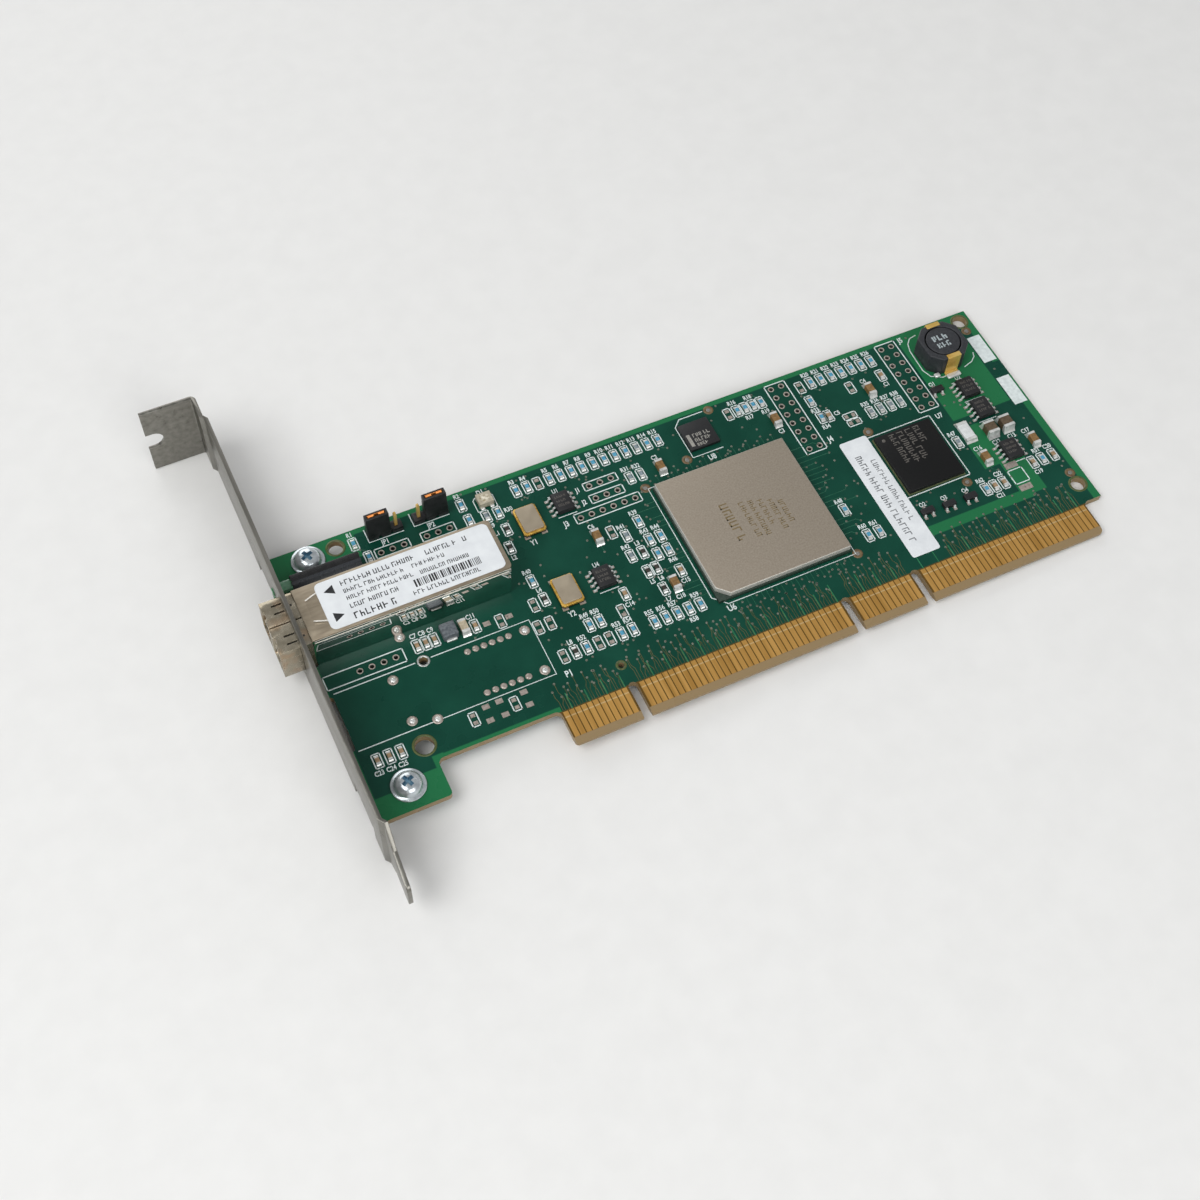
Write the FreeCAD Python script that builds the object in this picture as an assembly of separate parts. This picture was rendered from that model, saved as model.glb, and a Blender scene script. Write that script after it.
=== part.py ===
import FreeCAD, Part
import math
import os

V = FreeCAD.Vector

# The card lies flat, component side up. While it is being built, x runs along the board
# from its bracket edge, y from the edge connector's lower edge, and z from its upper face.

# How finely the outlines' rounded corners and the small rounds are drawn
CURVE_STEP = math.radians(23)
ROUND_SIDES = 12

# Circuit board
BOARD_LENGTH = 167.64
BOARD_HEIGHT = 64.41
BOARD_THICKNESS = 1.57
BODY_RISE = 8.0
FOOT_LENGTH = 14.9
BOARD_CORNER_R = 0.8
INNER_CORNER_R = 1.2
RECESS_DEPTH = 1.4
RECESS_CLEARANCE = 0.25
SITE_PITCH = 20.4

# Layout grid: component places are counted in steps of about 2.54 mm
COLUMNS = 66.0
ROWS = 25.36
COLUMN = BOARD_LENGTH / COLUMNS
ROW = BOARD_HEIGHT / ROWS

# Edge connector
CONTACT_PITCH = COLUMN / 2
CONTACT_WIDTH = 1.0
CONTACT_TOP = 7.4
CONTACT_THICKNESS = 0.05
FIRST_CONTACT = 16.38 * COLUMN
CONTACT_COUNTS = (11, 36, 11, 32)
GAP_COUNTS = (2, 2, 2)
KEY_WIDTH = 1.9
KEY_DEPTH = 8.0
KEY_ROUND_R = 0.85
TONGUE_MARGIN = 0.35
BEVEL_LENGTH = 1.5
BEVEL_DEPTH = 0.45

# Holes in the board
SCREW_FROM_EDGE = 7.8
LOW_SCREW_Y = 5.1
HIGH_SCREW_FROM_TOP = 3.7
CORNER_HOLE_R = 1.6
LOW_CORNER_HOLE_R = 1.95
LOW_CORNER_HOLE = (5.41, 4.65)
CORNER_HOLES = ((5.53, 24.24), (64.9, 4.96), (65.0, 24.4))
GUIDE_HOLE = (8.1, 11.53)
GUIDE_HOLE_R = 0.9
TOOLING_HOLE = (22.08, 4.86)
TOOLING_HOLE_R = 0.65
HEADER_PITCH = 2.54
HEADER_HOLE = 0.95
OPEN_HEADERS = ((27.0, 21.5, 3), (27.0, 20.15, 3), (25.02, 18.84, 6), (3.26, 12.71, 4))
TEST_COLUMNS = (45.8, 56.9)
TEST_ROW = 24.4
TEST_PINS = 8

# Bracket
SHEET = 0.86
BRACKET_GAP = 0.5
BRACKET_WIDTH = 18.42
BRACKET_HIGH = 13.5
BRACKET_TOP = 100.5
BRACKET_TIP = -17.8
BEND_R = 0.4
TAB_LENGTH = 11.2
TAB_SLOT_WIDTH = 4.42
TAB_SLOT_DEPTH = 3.6
TAB_SLOT_R = 2.1
TOP_OFFSET = 0.77
TOP_OFFSET_HEIGHT = 5.0
OFFSET_RUN = 1.0
FOOT_OFFSET = 0.8
FOOT_OFFSET_Y = -5.2
SHOULDER_Y = -6.3
FOOT_LEAN = 0.5
FOOT_WIDTH = 10.19
FOOT_TAPER = 1.6
FOOT_CORNER_R = 1.2
LUG_LENGTH = 12.4
LUG_WIDTH = 9.0
LUG_CORNER_R = 1.5
LUG_RELIEF = 0.8
WINDOW_CLEARANCE = 0.25

# Bracket screws
SCREW_R = 1.45
SCREW_CLEARANCE = 0.25
THREAD_CLEARANCE = 0.05
SCREW_TIP = 1.2
FLANGE_R = 3.55
FLANGE_THICKNESS = 0.5
HEAD_R = 2.6
HEAD_HEIGHT = 2.4
HEAD_SHOULDER_R = 2.1
HEAD_SHOULDER = 1.7
HEAD_FLAT_R = 1.1
CROSS_LENGTH = 3.0
CROSS_WIDTH = 0.75
CROSS_DEPTH = 1.3

# Optical transceiver
TRANSCEIVER_Y = 16.91 * ROW
TRANSCEIVER_START = 1.1
TRANSCEIVER_LENGTH = 42.2
TRANSCEIVER_HEIGHT = 9.8
CASE_WIDTH = 12.0
CASE_WALL = 0.35
COVER_SHEET = 0.3
COVER_SKIRT = 1.3
COVER_CORNER_R = 1.0
COVER_RIB_LENGTH = 2.5
COVER_RIB_WIDTH = 0.22
COVER_RIB_HEIGHT = 0.15
COVER_RIB_ANGLE = 20.0
COVER_RIB_SPREAD = 5.6
COVER_RIB_START = 1.8
NOSE_LENGTH = 5.6
NOSE_WIDTH = 12.5
NOSE_FLOOR = 0.4
NOSE_TOP = 9.3
NOSE_PLUG = 3.9
NOSE_GROOVE = 0.35
NOSE_GROOVE_DEPTH = 1.1
PORT_PITCH = 6.25
PORT_WIDTH = 5.2
PORT_BOTTOM = 1.2
PORT_HEIGHT = 7.2
PORT_DEPTH = 9.0
LATCH_SLOT_LENGTH = 2.1
LATCH_SLOT_WIDTH = 0.45
LATCH_SLOT_SPREAD = 1.85
LATCH_PITCH = 7.4
LATCH_FROM_FRONT = 2.1
KEY_NOTCH_WIDTH = 1.5
KEY_NOTCH_DEPTH = 0.45
SLEEVE_R = 1.25
SLEEVE_REACH = 4.4
SLEEVE_CLEARANCE = 0.05
BARREL_R = 2.4
BARREL_LENGTH = 6.0
OPTICAL_AXIS = 4.8
INNER_BOARD_Z = 3.0
INNER_BOARD_THICKNESS = 0.8
INNER_BOARD_END = 0.6
PIN_SIZE = 0.46
PIN_PITCH = 1.78
PIN_COUNT = 6
PIN_ROW_SPREAD = 10.1
PIN_HOLE = 0.75
FIRST_PIN = 11.55 * COLUMN
POST_SIZE = 1.0
POST_HOLE = 1.4
POST_COLUMNS = (5.3, 16.42)
TAIL_LENGTH = 1.3
LABEL_THICKNESS = 0.1
LABEL_MARGIN = 0.6
LABEL_START = 4.4
LABEL_CORNER_R = 1.2

# Indicator light guide
GUIDE_Y = 21.5 * ROW
GUIDE_START = 2.5
GUIDE_LENGTH = 14.7
GUIDE_WIDTH = 3.1
GUIDE_HEIGHT = 4.5
GUIDE_BEVEL = 0.8
LENS_WIDTH = 2.3
LENS_BOTTOM = 0.6
LENS_HEIGHT = 3.4
LENS_STUB_R = 0.9
LENS_STUB_PITCH = 1.9
LENS_HOLE_R = 1.0
LENS_PROUD = 0.3

# Jumper headers
JUMPER_ROW = 24.12
OPEN_ROW = 22.33
JUMPER_COLUMNS = (8.764, 12.764)
BASE_HEIGHT = 1.4
BASE_WIDTH = 2.2
BASE_NOTCH = 0.3
HEADER_PIN = 0.64
HEADER_PIN_TOP = 5.6
SHUNT_LENGTH = 5.0
SHUNT_WIDTH = 2.3
SHUNT_HEIGHT = 5.2
SHUNT_SLOT_WIDTH = 1.4
SHUNT_SLOT_LENGTH = 4.0
CLIP_SHEET = 0.18
CLIP_WIDTH = 3.4
CLIP_FROM_TOP = 0.3

# Controller and other chips
CONTROLLER = (37.76, 12.84)
SUBSTRATE_SIZE = 31.0
SUBSTRATE_HEIGHT = 0.9
LID_INSET = 0.2
LID_HEIGHT = 1.5
LID_CHAMFER = 2.4
MEMORY_CHIP = (53.86, 12.8)
MEMORY_LENGTH = 13.7
MEMORY_WIDTH = 15.5
MEMORY_HEIGHT = 1.3
CLOCK_CHIP = (37.75, 22.48)
CLOCK_SIZE = 7.0
CLOCK_HEIGHT = 0.9
EIGHT_LEAD_CHIPS = ((24.17, 20.67), (24.2, 12.64), (61.5, 17.44), (61.5, 15.04), (61.42, 10.2))
SMALL_CHIP_LENGTH = 4.9
SMALL_CHIP_WIDTH = 3.9
SMALL_CHIP_STAND = 0.15
SMALL_CHIP_HEIGHT = 1.45
SMALL_CHIP_DRAFT = 0.12
LEAD_PITCH = 1.27
LEAD_WIDTH = 0.42
LEAD_SHEET = 0.2
LEAD_REACH = 1.05
LEAD_FOOT = 0.55
TRANSISTORS = ((51.65, 7.63), (53.66, 7.5), (55.7, 7.45), (59.0, 18.39))
TRANSISTOR_LENGTH = 2.9
TRANSISTOR_WIDTH = 1.4
TRANSISTOR_HEIGHT = 1.0
TRANSISTOR_LEAD_PITCH = 0.95
TRANSISTOR_LEAD_REACH = 0.55
TRANSISTOR_LEAD_FOOT = 0.3

# Oscillators and surface light
OSCILLATORS = ((20.98, 20.2), (20.98, 12.72))
OSCILLATOR_LENGTH = 7.0
OSCILLATOR_WIDTH = 5.0
OSCILLATOR_BASE_HEIGHT = 1.0
OSCILLATOR_LID_INSET = 0.35
OSCILLATOR_LID_HEIGHT = 0.5
OSCILLATOR_CORNER_R = 0.5
CORNER_NOTCH = 0.6
SURFACE_LIGHT = (18.39, 23.5)
LIGHT_LENGTH = 3.2
LIGHT_WIDTH = 2.8
LIGHT_HEIGHT = 1.6
LIGHT_CUP_R = 1.1
LIGHT_CUP_DEPTH = 0.6
LIGHT_LEAD_WIDTH = 0.7
LIGHT_LEAD_SHEET = 0.2

# Power inductor
INDUCTOR = (61.3, 21.85)
INDUCTOR_SIZE = 10.0
INDUCTOR_HEIGHT = 5.0
INDUCTOR_CHAMFER = 2.3
DRUM_R = 3.8
DRUM_GAP = 0.3
DRUM_CORE_R = 2.0
DRUM_FLANGE = 1.0
WINDING_GAP = 0.15
TERMINAL_WIDTH = 3.3
TERMINAL_SHEET = 0.25
TERMINAL_LAP = 0.9
TERMINAL_FOOT = 1.1

# Chip parts: length along y, width along x
CHIP_LENGTH = 1.6
CHIP_WIDTH = 0.85
CHIP_HEIGHT = 0.5
LARGE_LENGTH = 3.2
LARGE_WIDTH = 1.6
LARGE_HEIGHT = 1.3
LARGE_CAP = 0.6
WIDE_WIDTH = 2.5
WIDE_HEIGHT = 2.0
SENSE_RESISTOR = (58.98, 13.46)
SENSE_LENGTH = 5.0
SENSE_WIDTH = 2.5
SENSE_HEIGHT = 0.8
SENSE_CAP = 0.65
FILTER_COIL = (10.87, 13.03)
FILTER_COIL_SIZE = 3.2
FILTER_COIL_HEIGHT = 2.0

# Stock label on the board
STOCK_LABEL_ROW = 10.43
STOCK_LABEL_LENGTH = 32.0
STOCK_LABEL_WIDTH = 6.7
STOCK_LABEL_GAP = 0.7
STOCK_LABEL_CORNER_R = 0.6

# Places worked out from the sizes above
TONGUE_LEFT = FIRST_CONTACT - CONTACT_WIDTH / 2 - TONGUE_MARGIN
BOARD_BOTTOM = -BOARD_THICKNESS
BRACKET_INNER = -BRACKET_GAP
BRACKET_OUTER = -BRACKET_GAP - SHEET
BRACKET_LOW = BRACKET_HIGH - BRACKET_WIDTH
TAB_END = BRACKET_OUTER - TOP_OFFSET - TAB_LENGTH
HIGH_SCREW_Y = BOARD_HEIGHT - HIGH_SCREW_FROM_TOP
SCREW_PLACES = ((SCREW_FROM_EDGE, LOW_SCREW_Y), (SCREW_FROM_EDGE, HIGH_SCREW_Y))
TRANSCEIVER_END = TRANSCEIVER_START + TRANSCEIVER_LENGTH
CASE_TOP = TRANSCEIVER_HEIGHT - COVER_SHEET
COVER_WIDTH = CASE_WIDTH + 2 * COVER_SHEET
CASE_INSIDE = CASE_WIDTH - 2 * CASE_WALL
RECESS_WIDTH = NOSE_WIDTH + 2 * RECESS_CLEARANCE
NOSE_FRONT = -NOSE_LENGTH
NOSE_BACK = TRANSCEIVER_START + NOSE_PLUG
PLANES = {
    "xy": lambda a, b, n: V(a, b, n),
    "yz": lambda a, b, n: V(n, a, b),
    "xz": lambda a, b, n: V(a, n, b),
}


def rounded_prism(corners, plane, start, end):
    """A prism whose outline has the given corners (a, b, radius), from start to end along the normal."""
    place = PLANES[plane]
    points = []
    for i, (a, b, radius) in enumerate(corners):
        here = V(a, b, 0)
        if radius == 0:
            points.append(here)
            continue
        back = (V(*corners[i - 1][:2], 0) - here).normalize()
        ahead = (V(*corners[(i + 1) % len(corners)][:2], 0) - here).normalize()
        half = back.getAngle(ahead) / 2
        centre = here + (back + ahead).normalize() * (radius / math.sin(half))
        first = here + back * (radius / math.tan(half)) - centre
        last = here + ahead * (radius / math.tan(half)) - centre
        sweep = math.pi - 2 * half
        parts = math.ceil(sweep / CURVE_STEP)
        for k in range(parts + 1):
            swing = sweep * k / parts
            spoke = first * math.sin(sweep - swing) + last * math.sin(swing)
            points.append(centre + spoke / math.sin(sweep))
    ring = [place(point.x, point.y, start) for point in points + points[:1]]
    face = Part.Face(Part.makePolygon(ring))
    return face.extrude(place(0, 0, end - start))


def round_corners(a, b, radius):
    """Corners of a small many-sided round, which keeps parts that repeat or stay hidden light."""
    angles = [2 * math.pi * (i + 0.5) / ROUND_SIDES for i in range(ROUND_SIDES)]
    return [(a + radius * math.cos(angle), b + radius * math.sin(angle), 0) for angle in angles]


def box(x0, x1, y0, y1, z0, z1):
    return Part.makeBox(x1 - x0, y1 - y0, z1 - z0, V(x0, y0, z0))


def block(x, y, z0, length, width, height):
    """A box centred on x, y that stands on z0; length runs along x."""
    return box(x - length / 2, x + length / 2, y - width / 2, y + width / 2, z0, z0 + height)


def rounded_block(x, y, z0, length, width, height, radius):
    sides = ((-1, -1), (1, -1), (1, 1), (-1, 1))
    corners = [(x + i * length / 2, y + j * width / 2, radius) for i, j in sides]
    return rounded_prism(corners, "xy", z0, z0 + height)


def grid(place):
    """Millimetres of a place that is counted in grid steps."""
    return place[0] * COLUMN, place[1] * ROW


def steps(first, row, count, step):
    """Grid places of a row of like parts."""
    return [(first + i * step, row) for i in range(count)]


def group(solids):
    return Part.makeCompound(solids)


def contact_centres():
    """Centres of the edge contacts and of the two keys and the gap between their runs."""
    contacts = []
    gaps = []
    position = 0
    for run, gap in zip(CONTACT_COUNTS, GAP_COUNTS + (0,)):
        contacts += [FIRST_CONTACT + (position + i) * CONTACT_PITCH for i in range(run)]
        position += run + gap
        if gap:
            gaps.append(FIRST_CONTACT + (position - (gap + 1) / 2) * CONTACT_PITCH)
    return contacts, gaps


CONTACTS, KEYS = contact_centres()
TONGUE_RIGHT = CONTACTS[-1] + CONTACT_WIDTH / 2 + TONGUE_MARGIN


def header_places():
    """Hole places of the pin headers, as (x, y): one list for filled rows and one for open ones."""
    filled = []
    opened = []
    for column in JUMPER_COLUMNS:
        for i in range(3):
            x = column * COLUMN + i * HEADER_PITCH
            filled.append((x, JUMPER_ROW * ROW))
            opened.append((x, OPEN_ROW * ROW))
    for column, row, count in OPEN_HEADERS:
        opened += [(column * COLUMN + i * HEADER_PITCH, row * ROW) for i in range(count)]
    for column in TEST_COLUMNS:
        for i in range(2):
            x = column * COLUMN + i * HEADER_PITCH
            opened += [(x, TEST_ROW * ROW - j * HEADER_PITCH) for j in range(TEST_PINS)]
    return filled, opened


def transceiver_pin_places():
    rows = [TRANSCEIVER_Y + side * PIN_ROW_SPREAD / 2 for side in (-1, 1)]
    pins = [(FIRST_PIN + i * PIN_PITCH, y) for y in rows for i in range(PIN_COUNT)]
    posts = [(column * COLUMN, y) for y in rows for column in POST_COLUMNS]
    return pins, posts


def square_hole(x, y, size):
    """A hole for a square pin."""
    return block(x, y, BOARD_BOTTOM - 1, size, size, BOARD_THICKNESS + 2)


def small_hole(x, y, radius):
    return rounded_prism(round_corners(x, y, radius), "xy", BOARD_BOTTOM - 1, 1)


def round_hole(x, y, radius):
    return Part.makeCylinder(radius, BOARD_THICKNESS + 2, V(x, y, BOARD_BOTTOM - 1))


def board_outline():
    """The card's outline, from the foot by the bracket round to the recesses for the two optical sites."""
    corners = [
        (0, 0, 0),
        (FOOT_LENGTH, 0, BOARD_CORNER_R),
        (FOOT_LENGTH, BODY_RISE, INNER_CORNER_R),
        (TONGUE_LEFT, BODY_RISE, INNER_CORNER_R),
        (TONGUE_LEFT, 0, BOARD_CORNER_R),
        (TONGUE_RIGHT, 0, BOARD_CORNER_R),
        (TONGUE_RIGHT, BODY_RISE, INNER_CORNER_R),
        (BOARD_LENGTH, BODY_RISE, 0),
        (BOARD_LENGTH, BOARD_HEIGHT, 0),
        (0, BOARD_HEIGHT, 0),
    ]
    for y in (TRANSCEIVER_Y, TRANSCEIVER_Y - SITE_PITCH):
        high = y + RECESS_WIDTH / 2
        low = y - RECESS_WIDTH / 2
        corners += [(0, high, 0), (RECESS_DEPTH, high, BOARD_CORNER_R)]
        corners += [(RECESS_DEPTH, low, BOARD_CORNER_R), (0, low, 0)]
    return corners


def bevel(face_z, into):
    """The wedge that is milled off one face along the connector's lower edge."""
    corners = [(-1, face_z, 0), (BEVEL_LENGTH, face_z, 0), (-1, face_z + into * (1 + 1 / BEVEL_LENGTH), 0)]
    return rounded_prism(corners, "yz", TONGUE_LEFT - 1, TONGUE_RIGHT + 1)


def key_slot(x):
    """A key slot with a rounded top."""
    half = KEY_WIDTH / 2
    corners = [
        (x - half, -1, 0),
        (x + half, -1, 0),
        (x + half, KEY_DEPTH, KEY_ROUND_R),
        (x - half, KEY_DEPTH, KEY_ROUND_R),
    ]
    return rounded_prism(corners, "xy", BOARD_BOTTOM - 1, 1)


def circuit_board():
    board = rounded_prism(board_outline(), "xy", BOARD_BOTTOM, 0)
    cuts = []
    for x in KEYS:
        cuts.append(key_slot(x))
    for x, y in SCREW_PLACES:
        cuts.append(small_hole(x, y, SCREW_R + SCREW_CLEARANCE))
    cuts.append(round_hole(*grid(LOW_CORNER_HOLE), LOW_CORNER_HOLE_R))
    cuts += [round_hole(*grid(place), CORNER_HOLE_R) for place in CORNER_HOLES]
    cuts.append(small_hole(*grid(GUIDE_HOLE), GUIDE_HOLE_R))
    cuts.append(small_hole(*grid(TOOLING_HOLE), TOOLING_HOLE_R))
    filled, opened = header_places()
    cuts += [square_hole(x, y, HEADER_HOLE) for x, y in filled + opened]
    pins, posts = transceiver_pin_places()
    cuts += [square_hole(x, y, PIN_HOLE) for x, y in pins]
    cuts += [square_hole(x, y, POST_HOLE) for x, y in posts]
    cuts.append(bevel(0, -BEVEL_DEPTH))
    cuts.append(bevel(BOARD_BOTTOM, BEVEL_DEPTH))
    return board.cut(cuts)


def edge_contacts(z0):
    length = CONTACT_TOP - BEVEL_LENGTH
    y = BEVEL_LENGTH + length / 2
    return group([block(x, y, z0, CONTACT_WIDTH, length, CONTACT_THICKNESS) for x in CONTACTS])


def bracket_sheet():
    """The bracket seen from its edge: tab, offset top, long web and offset foot in one folded strip."""
    top_in = BRACKET_INNER - TOP_OFFSET
    top_out = BRACKET_OUTER - TOP_OFFSET
    foot_in = BRACKET_INNER + FOOT_OFFSET
    foot_out = BRACKET_OUTER + FOOT_OFFSET
    upper = BRACKET_TOP - SHEET - TOP_OFFSET_HEIGHT
    corners = [
        (TAB_END, BRACKET_TOP, 0),
        (top_in, BRACKET_TOP, BEND_R + SHEET),
        (top_in, upper, 0),
        (BRACKET_INNER, upper - OFFSET_RUN, 0),
        (BRACKET_INNER, FOOT_OFFSET_Y, 0),
        (foot_in, FOOT_OFFSET_Y - OFFSET_RUN, 0),
        (foot_in - FOOT_LEAN, BRACKET_TIP, 0),
        (foot_out - FOOT_LEAN, BRACKET_TIP, 0),
        (foot_out, FOOT_OFFSET_Y - OFFSET_RUN, 0),
        (BRACKET_OUTER, FOOT_OFFSET_Y, 0),
        (BRACKET_OUTER, upper - OFFSET_RUN, 0),
        (top_out, upper, 0),
        (top_out, BRACKET_TOP - SHEET, BEND_R),
        (TAB_END, BRACKET_TOP - SHEET, 0),
    ]
    return rounded_prism(corners, "xy", BRACKET_LOW, BRACKET_HIGH)


def bracket_front():
    """The bracket's outline seen from outside: full width, then shoulders down to the narrow foot."""
    drop = (BRACKET_WIDTH - FOOT_WIDTH) / 2
    below = SHOULDER_Y - drop
    high = BRACKET_HIGH - drop
    low = BRACKET_LOW + drop
    corners = [
        (BRACKET_TOP + 1, BRACKET_HIGH, 0),
        (SHOULDER_Y, BRACKET_HIGH, 0),
        (below, high, 0),
        (BRACKET_TIP, high - FOOT_TAPER, FOOT_CORNER_R),
        (BRACKET_TIP, low + FOOT_TAPER, FOOT_CORNER_R),
        (below, low, 0),
        (SHOULDER_Y, BRACKET_LOW, 0),
        (BRACKET_TOP + 1, BRACKET_LOW, 0),
    ]
    return rounded_prism(corners, "yz", TAB_END - 1, FOOT_OFFSET + 1)


def lug(y):
    """A lug bent inwards under the board, tapped for its screw."""
    root = BOARD_BOTTOM + BEND_R + SHEET
    corners = [
        (BRACKET_OUTER, root, 0),
        (BRACKET_OUTER, BOARD_BOTTOM - SHEET, BEND_R + SHEET),
        (LUG_LENGTH, BOARD_BOTTOM - SHEET, 0),
        (LUG_LENGTH, BOARD_BOTTOM, 0),
        (BRACKET_INNER, BOARD_BOTTOM, BEND_R),
        (BRACKET_INNER, root, 0),
    ]
    bent = rounded_prism(corners, "xz", y - LUG_WIDTH / 2, y + LUG_WIDTH / 2)
    plan = [
        (BRACKET_OUTER, y - LUG_WIDTH / 2, 0),
        (LUG_LENGTH, y - LUG_WIDTH / 2, LUG_CORNER_R),
        (LUG_LENGTH, y + LUG_WIDTH / 2, LUG_CORNER_R),
        (BRACKET_OUTER, y + LUG_WIDTH / 2, 0),
    ]
    bent = bent.common(rounded_prism(plan, "xy", BRACKET_LOW, root + 1))
    tapped = round_corners(SCREW_FROM_EDGE, y, SCREW_R + THREAD_CLEARANCE)
    return bent.cut(rounded_prism(tapped, "xy", BRACKET_LOW, root))


def lug_notch(y):
    """What is cut from the web's lower edge to free a lug, with relief beside it."""
    half = LUG_WIDTH / 2 + LUG_RELIEF
    top = BOARD_BOTTOM + BEND_R + SHEET / 2
    return box(BRACKET_OUTER - 1, BRACKET_INNER + 1, y - half, y + half, BRACKET_LOW - 1, top)


def lens_stub_heights():
    middle = LENS_BOTTOM + LENS_HEIGHT / 2
    return [middle + side * LENS_STUB_PITCH / 2 for side in (-1, 1)]


def tab_slot():
    """The slot for the chassis screw, open at the tab's end."""
    z = BRACKET_HIGH - BRACKET_WIDTH / 2
    half = TAB_SLOT_WIDTH / 2
    corners = [
        (TAB_END - 1, z - half, 0),
        (TAB_END + TAB_SLOT_DEPTH, z - half, TAB_SLOT_R),
        (TAB_END + TAB_SLOT_DEPTH, z + half, TAB_SLOT_R),
        (TAB_END - 1, z + half, 0),
    ]
    return rounded_prism(corners, "xz", BRACKET_TOP - 2 * SHEET, BRACKET_TOP + SHEET)


def bracket():
    sheet = bracket_sheet().common(bracket_front())
    cuts = [lug_notch(y) for x, y in SCREW_PLACES]
    half = NOSE_WIDTH / 2 + WINDOW_CLEARANCE
    low = NOSE_FLOOR - WINDOW_CLEARANCE
    high = NOSE_TOP + WINDOW_CLEARANCE
    cuts.append(box(BRACKET_OUTER - 1, 0, TRANSCEIVER_Y - half, TRANSCEIVER_Y + half, low, high))
    for z in lens_stub_heights():
        cuts.append(rounded_prism(round_corners(GUIDE_Y, z, LENS_HOLE_R), "yz", BRACKET_OUTER - 1, 0))
    cuts.append(tab_slot())
    sheet = sheet.cut(cuts)
    return sheet.fuse([lug(y) for x, y in SCREW_PLACES]).removeSplitter()


def bracket_screw(x, y):
    """A washer-headed screw: shank, flange, domed head and cross recess."""
    tip = BOARD_BOTTOM - SHEET - SCREW_TIP
    shank = rounded_prism(round_corners(x, y, SCREW_R), "xy", tip, 0)
    flange = rounded_prism(round_corners(x, y, FLANGE_R), "xy", 0, FLANGE_THICKNESS)
    rings = []
    levels = ((HEAD_R, FLANGE_THICKNESS), (HEAD_SHOULDER_R, HEAD_SHOULDER), (HEAD_FLAT_R, HEAD_HEIGHT))
    for radius, z in levels:
        corners = round_corners(x, y, radius)
        rings.append(Part.makePolygon([V(a, b, z) for a, b, sharp in corners + corners[:1]]))
    head = Part.makeLoft(rings, True, True)
    floor = HEAD_HEIGHT - CROSS_DEPTH
    across = block(x, y, floor, CROSS_LENGTH, CROSS_WIDTH, HEAD_HEIGHT)
    along = block(x, y, floor, CROSS_WIDTH, CROSS_LENGTH, HEAD_HEIGHT)
    return flange.fuse([shank, head]).removeSplitter().cut([across, along])


def across_transceiver(x0, x1, width, z0, z1):
    """A box centred on the transceiver's middle line."""
    return box(x0, x1, TRANSCEIVER_Y - width / 2, TRANSCEIVER_Y + width / 2, z0, z1)


def transceiver_case():
    """The walls under the cover, open towards the receptacle."""
    end = TRANSCEIVER_END - COVER_SHEET
    outer = across_transceiver(TRANSCEIVER_START, end, CASE_WIDTH, 0, CASE_TOP)
    inner = across_transceiver(TRANSCEIVER_START - 1, end - CASE_WALL, CASE_INSIDE, -1, CASE_TOP + 1)
    return outer.cut(inner)


def cover_rib(side):
    """One of two slanted ribs pressed up out of the cover."""
    rib = box(0, COVER_RIB_LENGTH, -COVER_RIB_WIDTH / 2, COVER_RIB_WIDTH / 2, 0, COVER_RIB_HEIGHT)
    rib.rotate(V(0, 0, 0), V(0, 0, 1), side * COVER_RIB_ANGLE)
    y = TRANSCEIVER_Y + side * COVER_RIB_SPREAD / 2
    rib.translate(V(TRANSCEIVER_START + COVER_RIB_START, y, TRANSCEIVER_HEIGHT))
    return rib


def transceiver_cover():
    half = COVER_WIDTH / 2
    low = TRANSCEIVER_HEIGHT - COVER_SKIRT
    corners = [
        (TRANSCEIVER_START, TRANSCEIVER_Y - half, 0),
        (TRANSCEIVER_END, TRANSCEIVER_Y - half, COVER_CORNER_R),
        (TRANSCEIVER_END, TRANSCEIVER_Y + half, COVER_CORNER_R),
        (TRANSCEIVER_START, TRANSCEIVER_Y + half, 0),
    ]
    tray = rounded_prism(corners, "xy", low, TRANSCEIVER_HEIGHT)
    end = TRANSCEIVER_END - COVER_SHEET
    inside = across_transceiver(TRANSCEIVER_START - 1, end, CASE_WIDTH, low - 1, CASE_TOP)
    return tray.cut(inside).fuse([cover_rib(1), cover_rib(-1)])


def port_centres():
    return [TRANSCEIVER_Y + side * PORT_PITCH / 2 for side in (-1, 1)]


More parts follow.
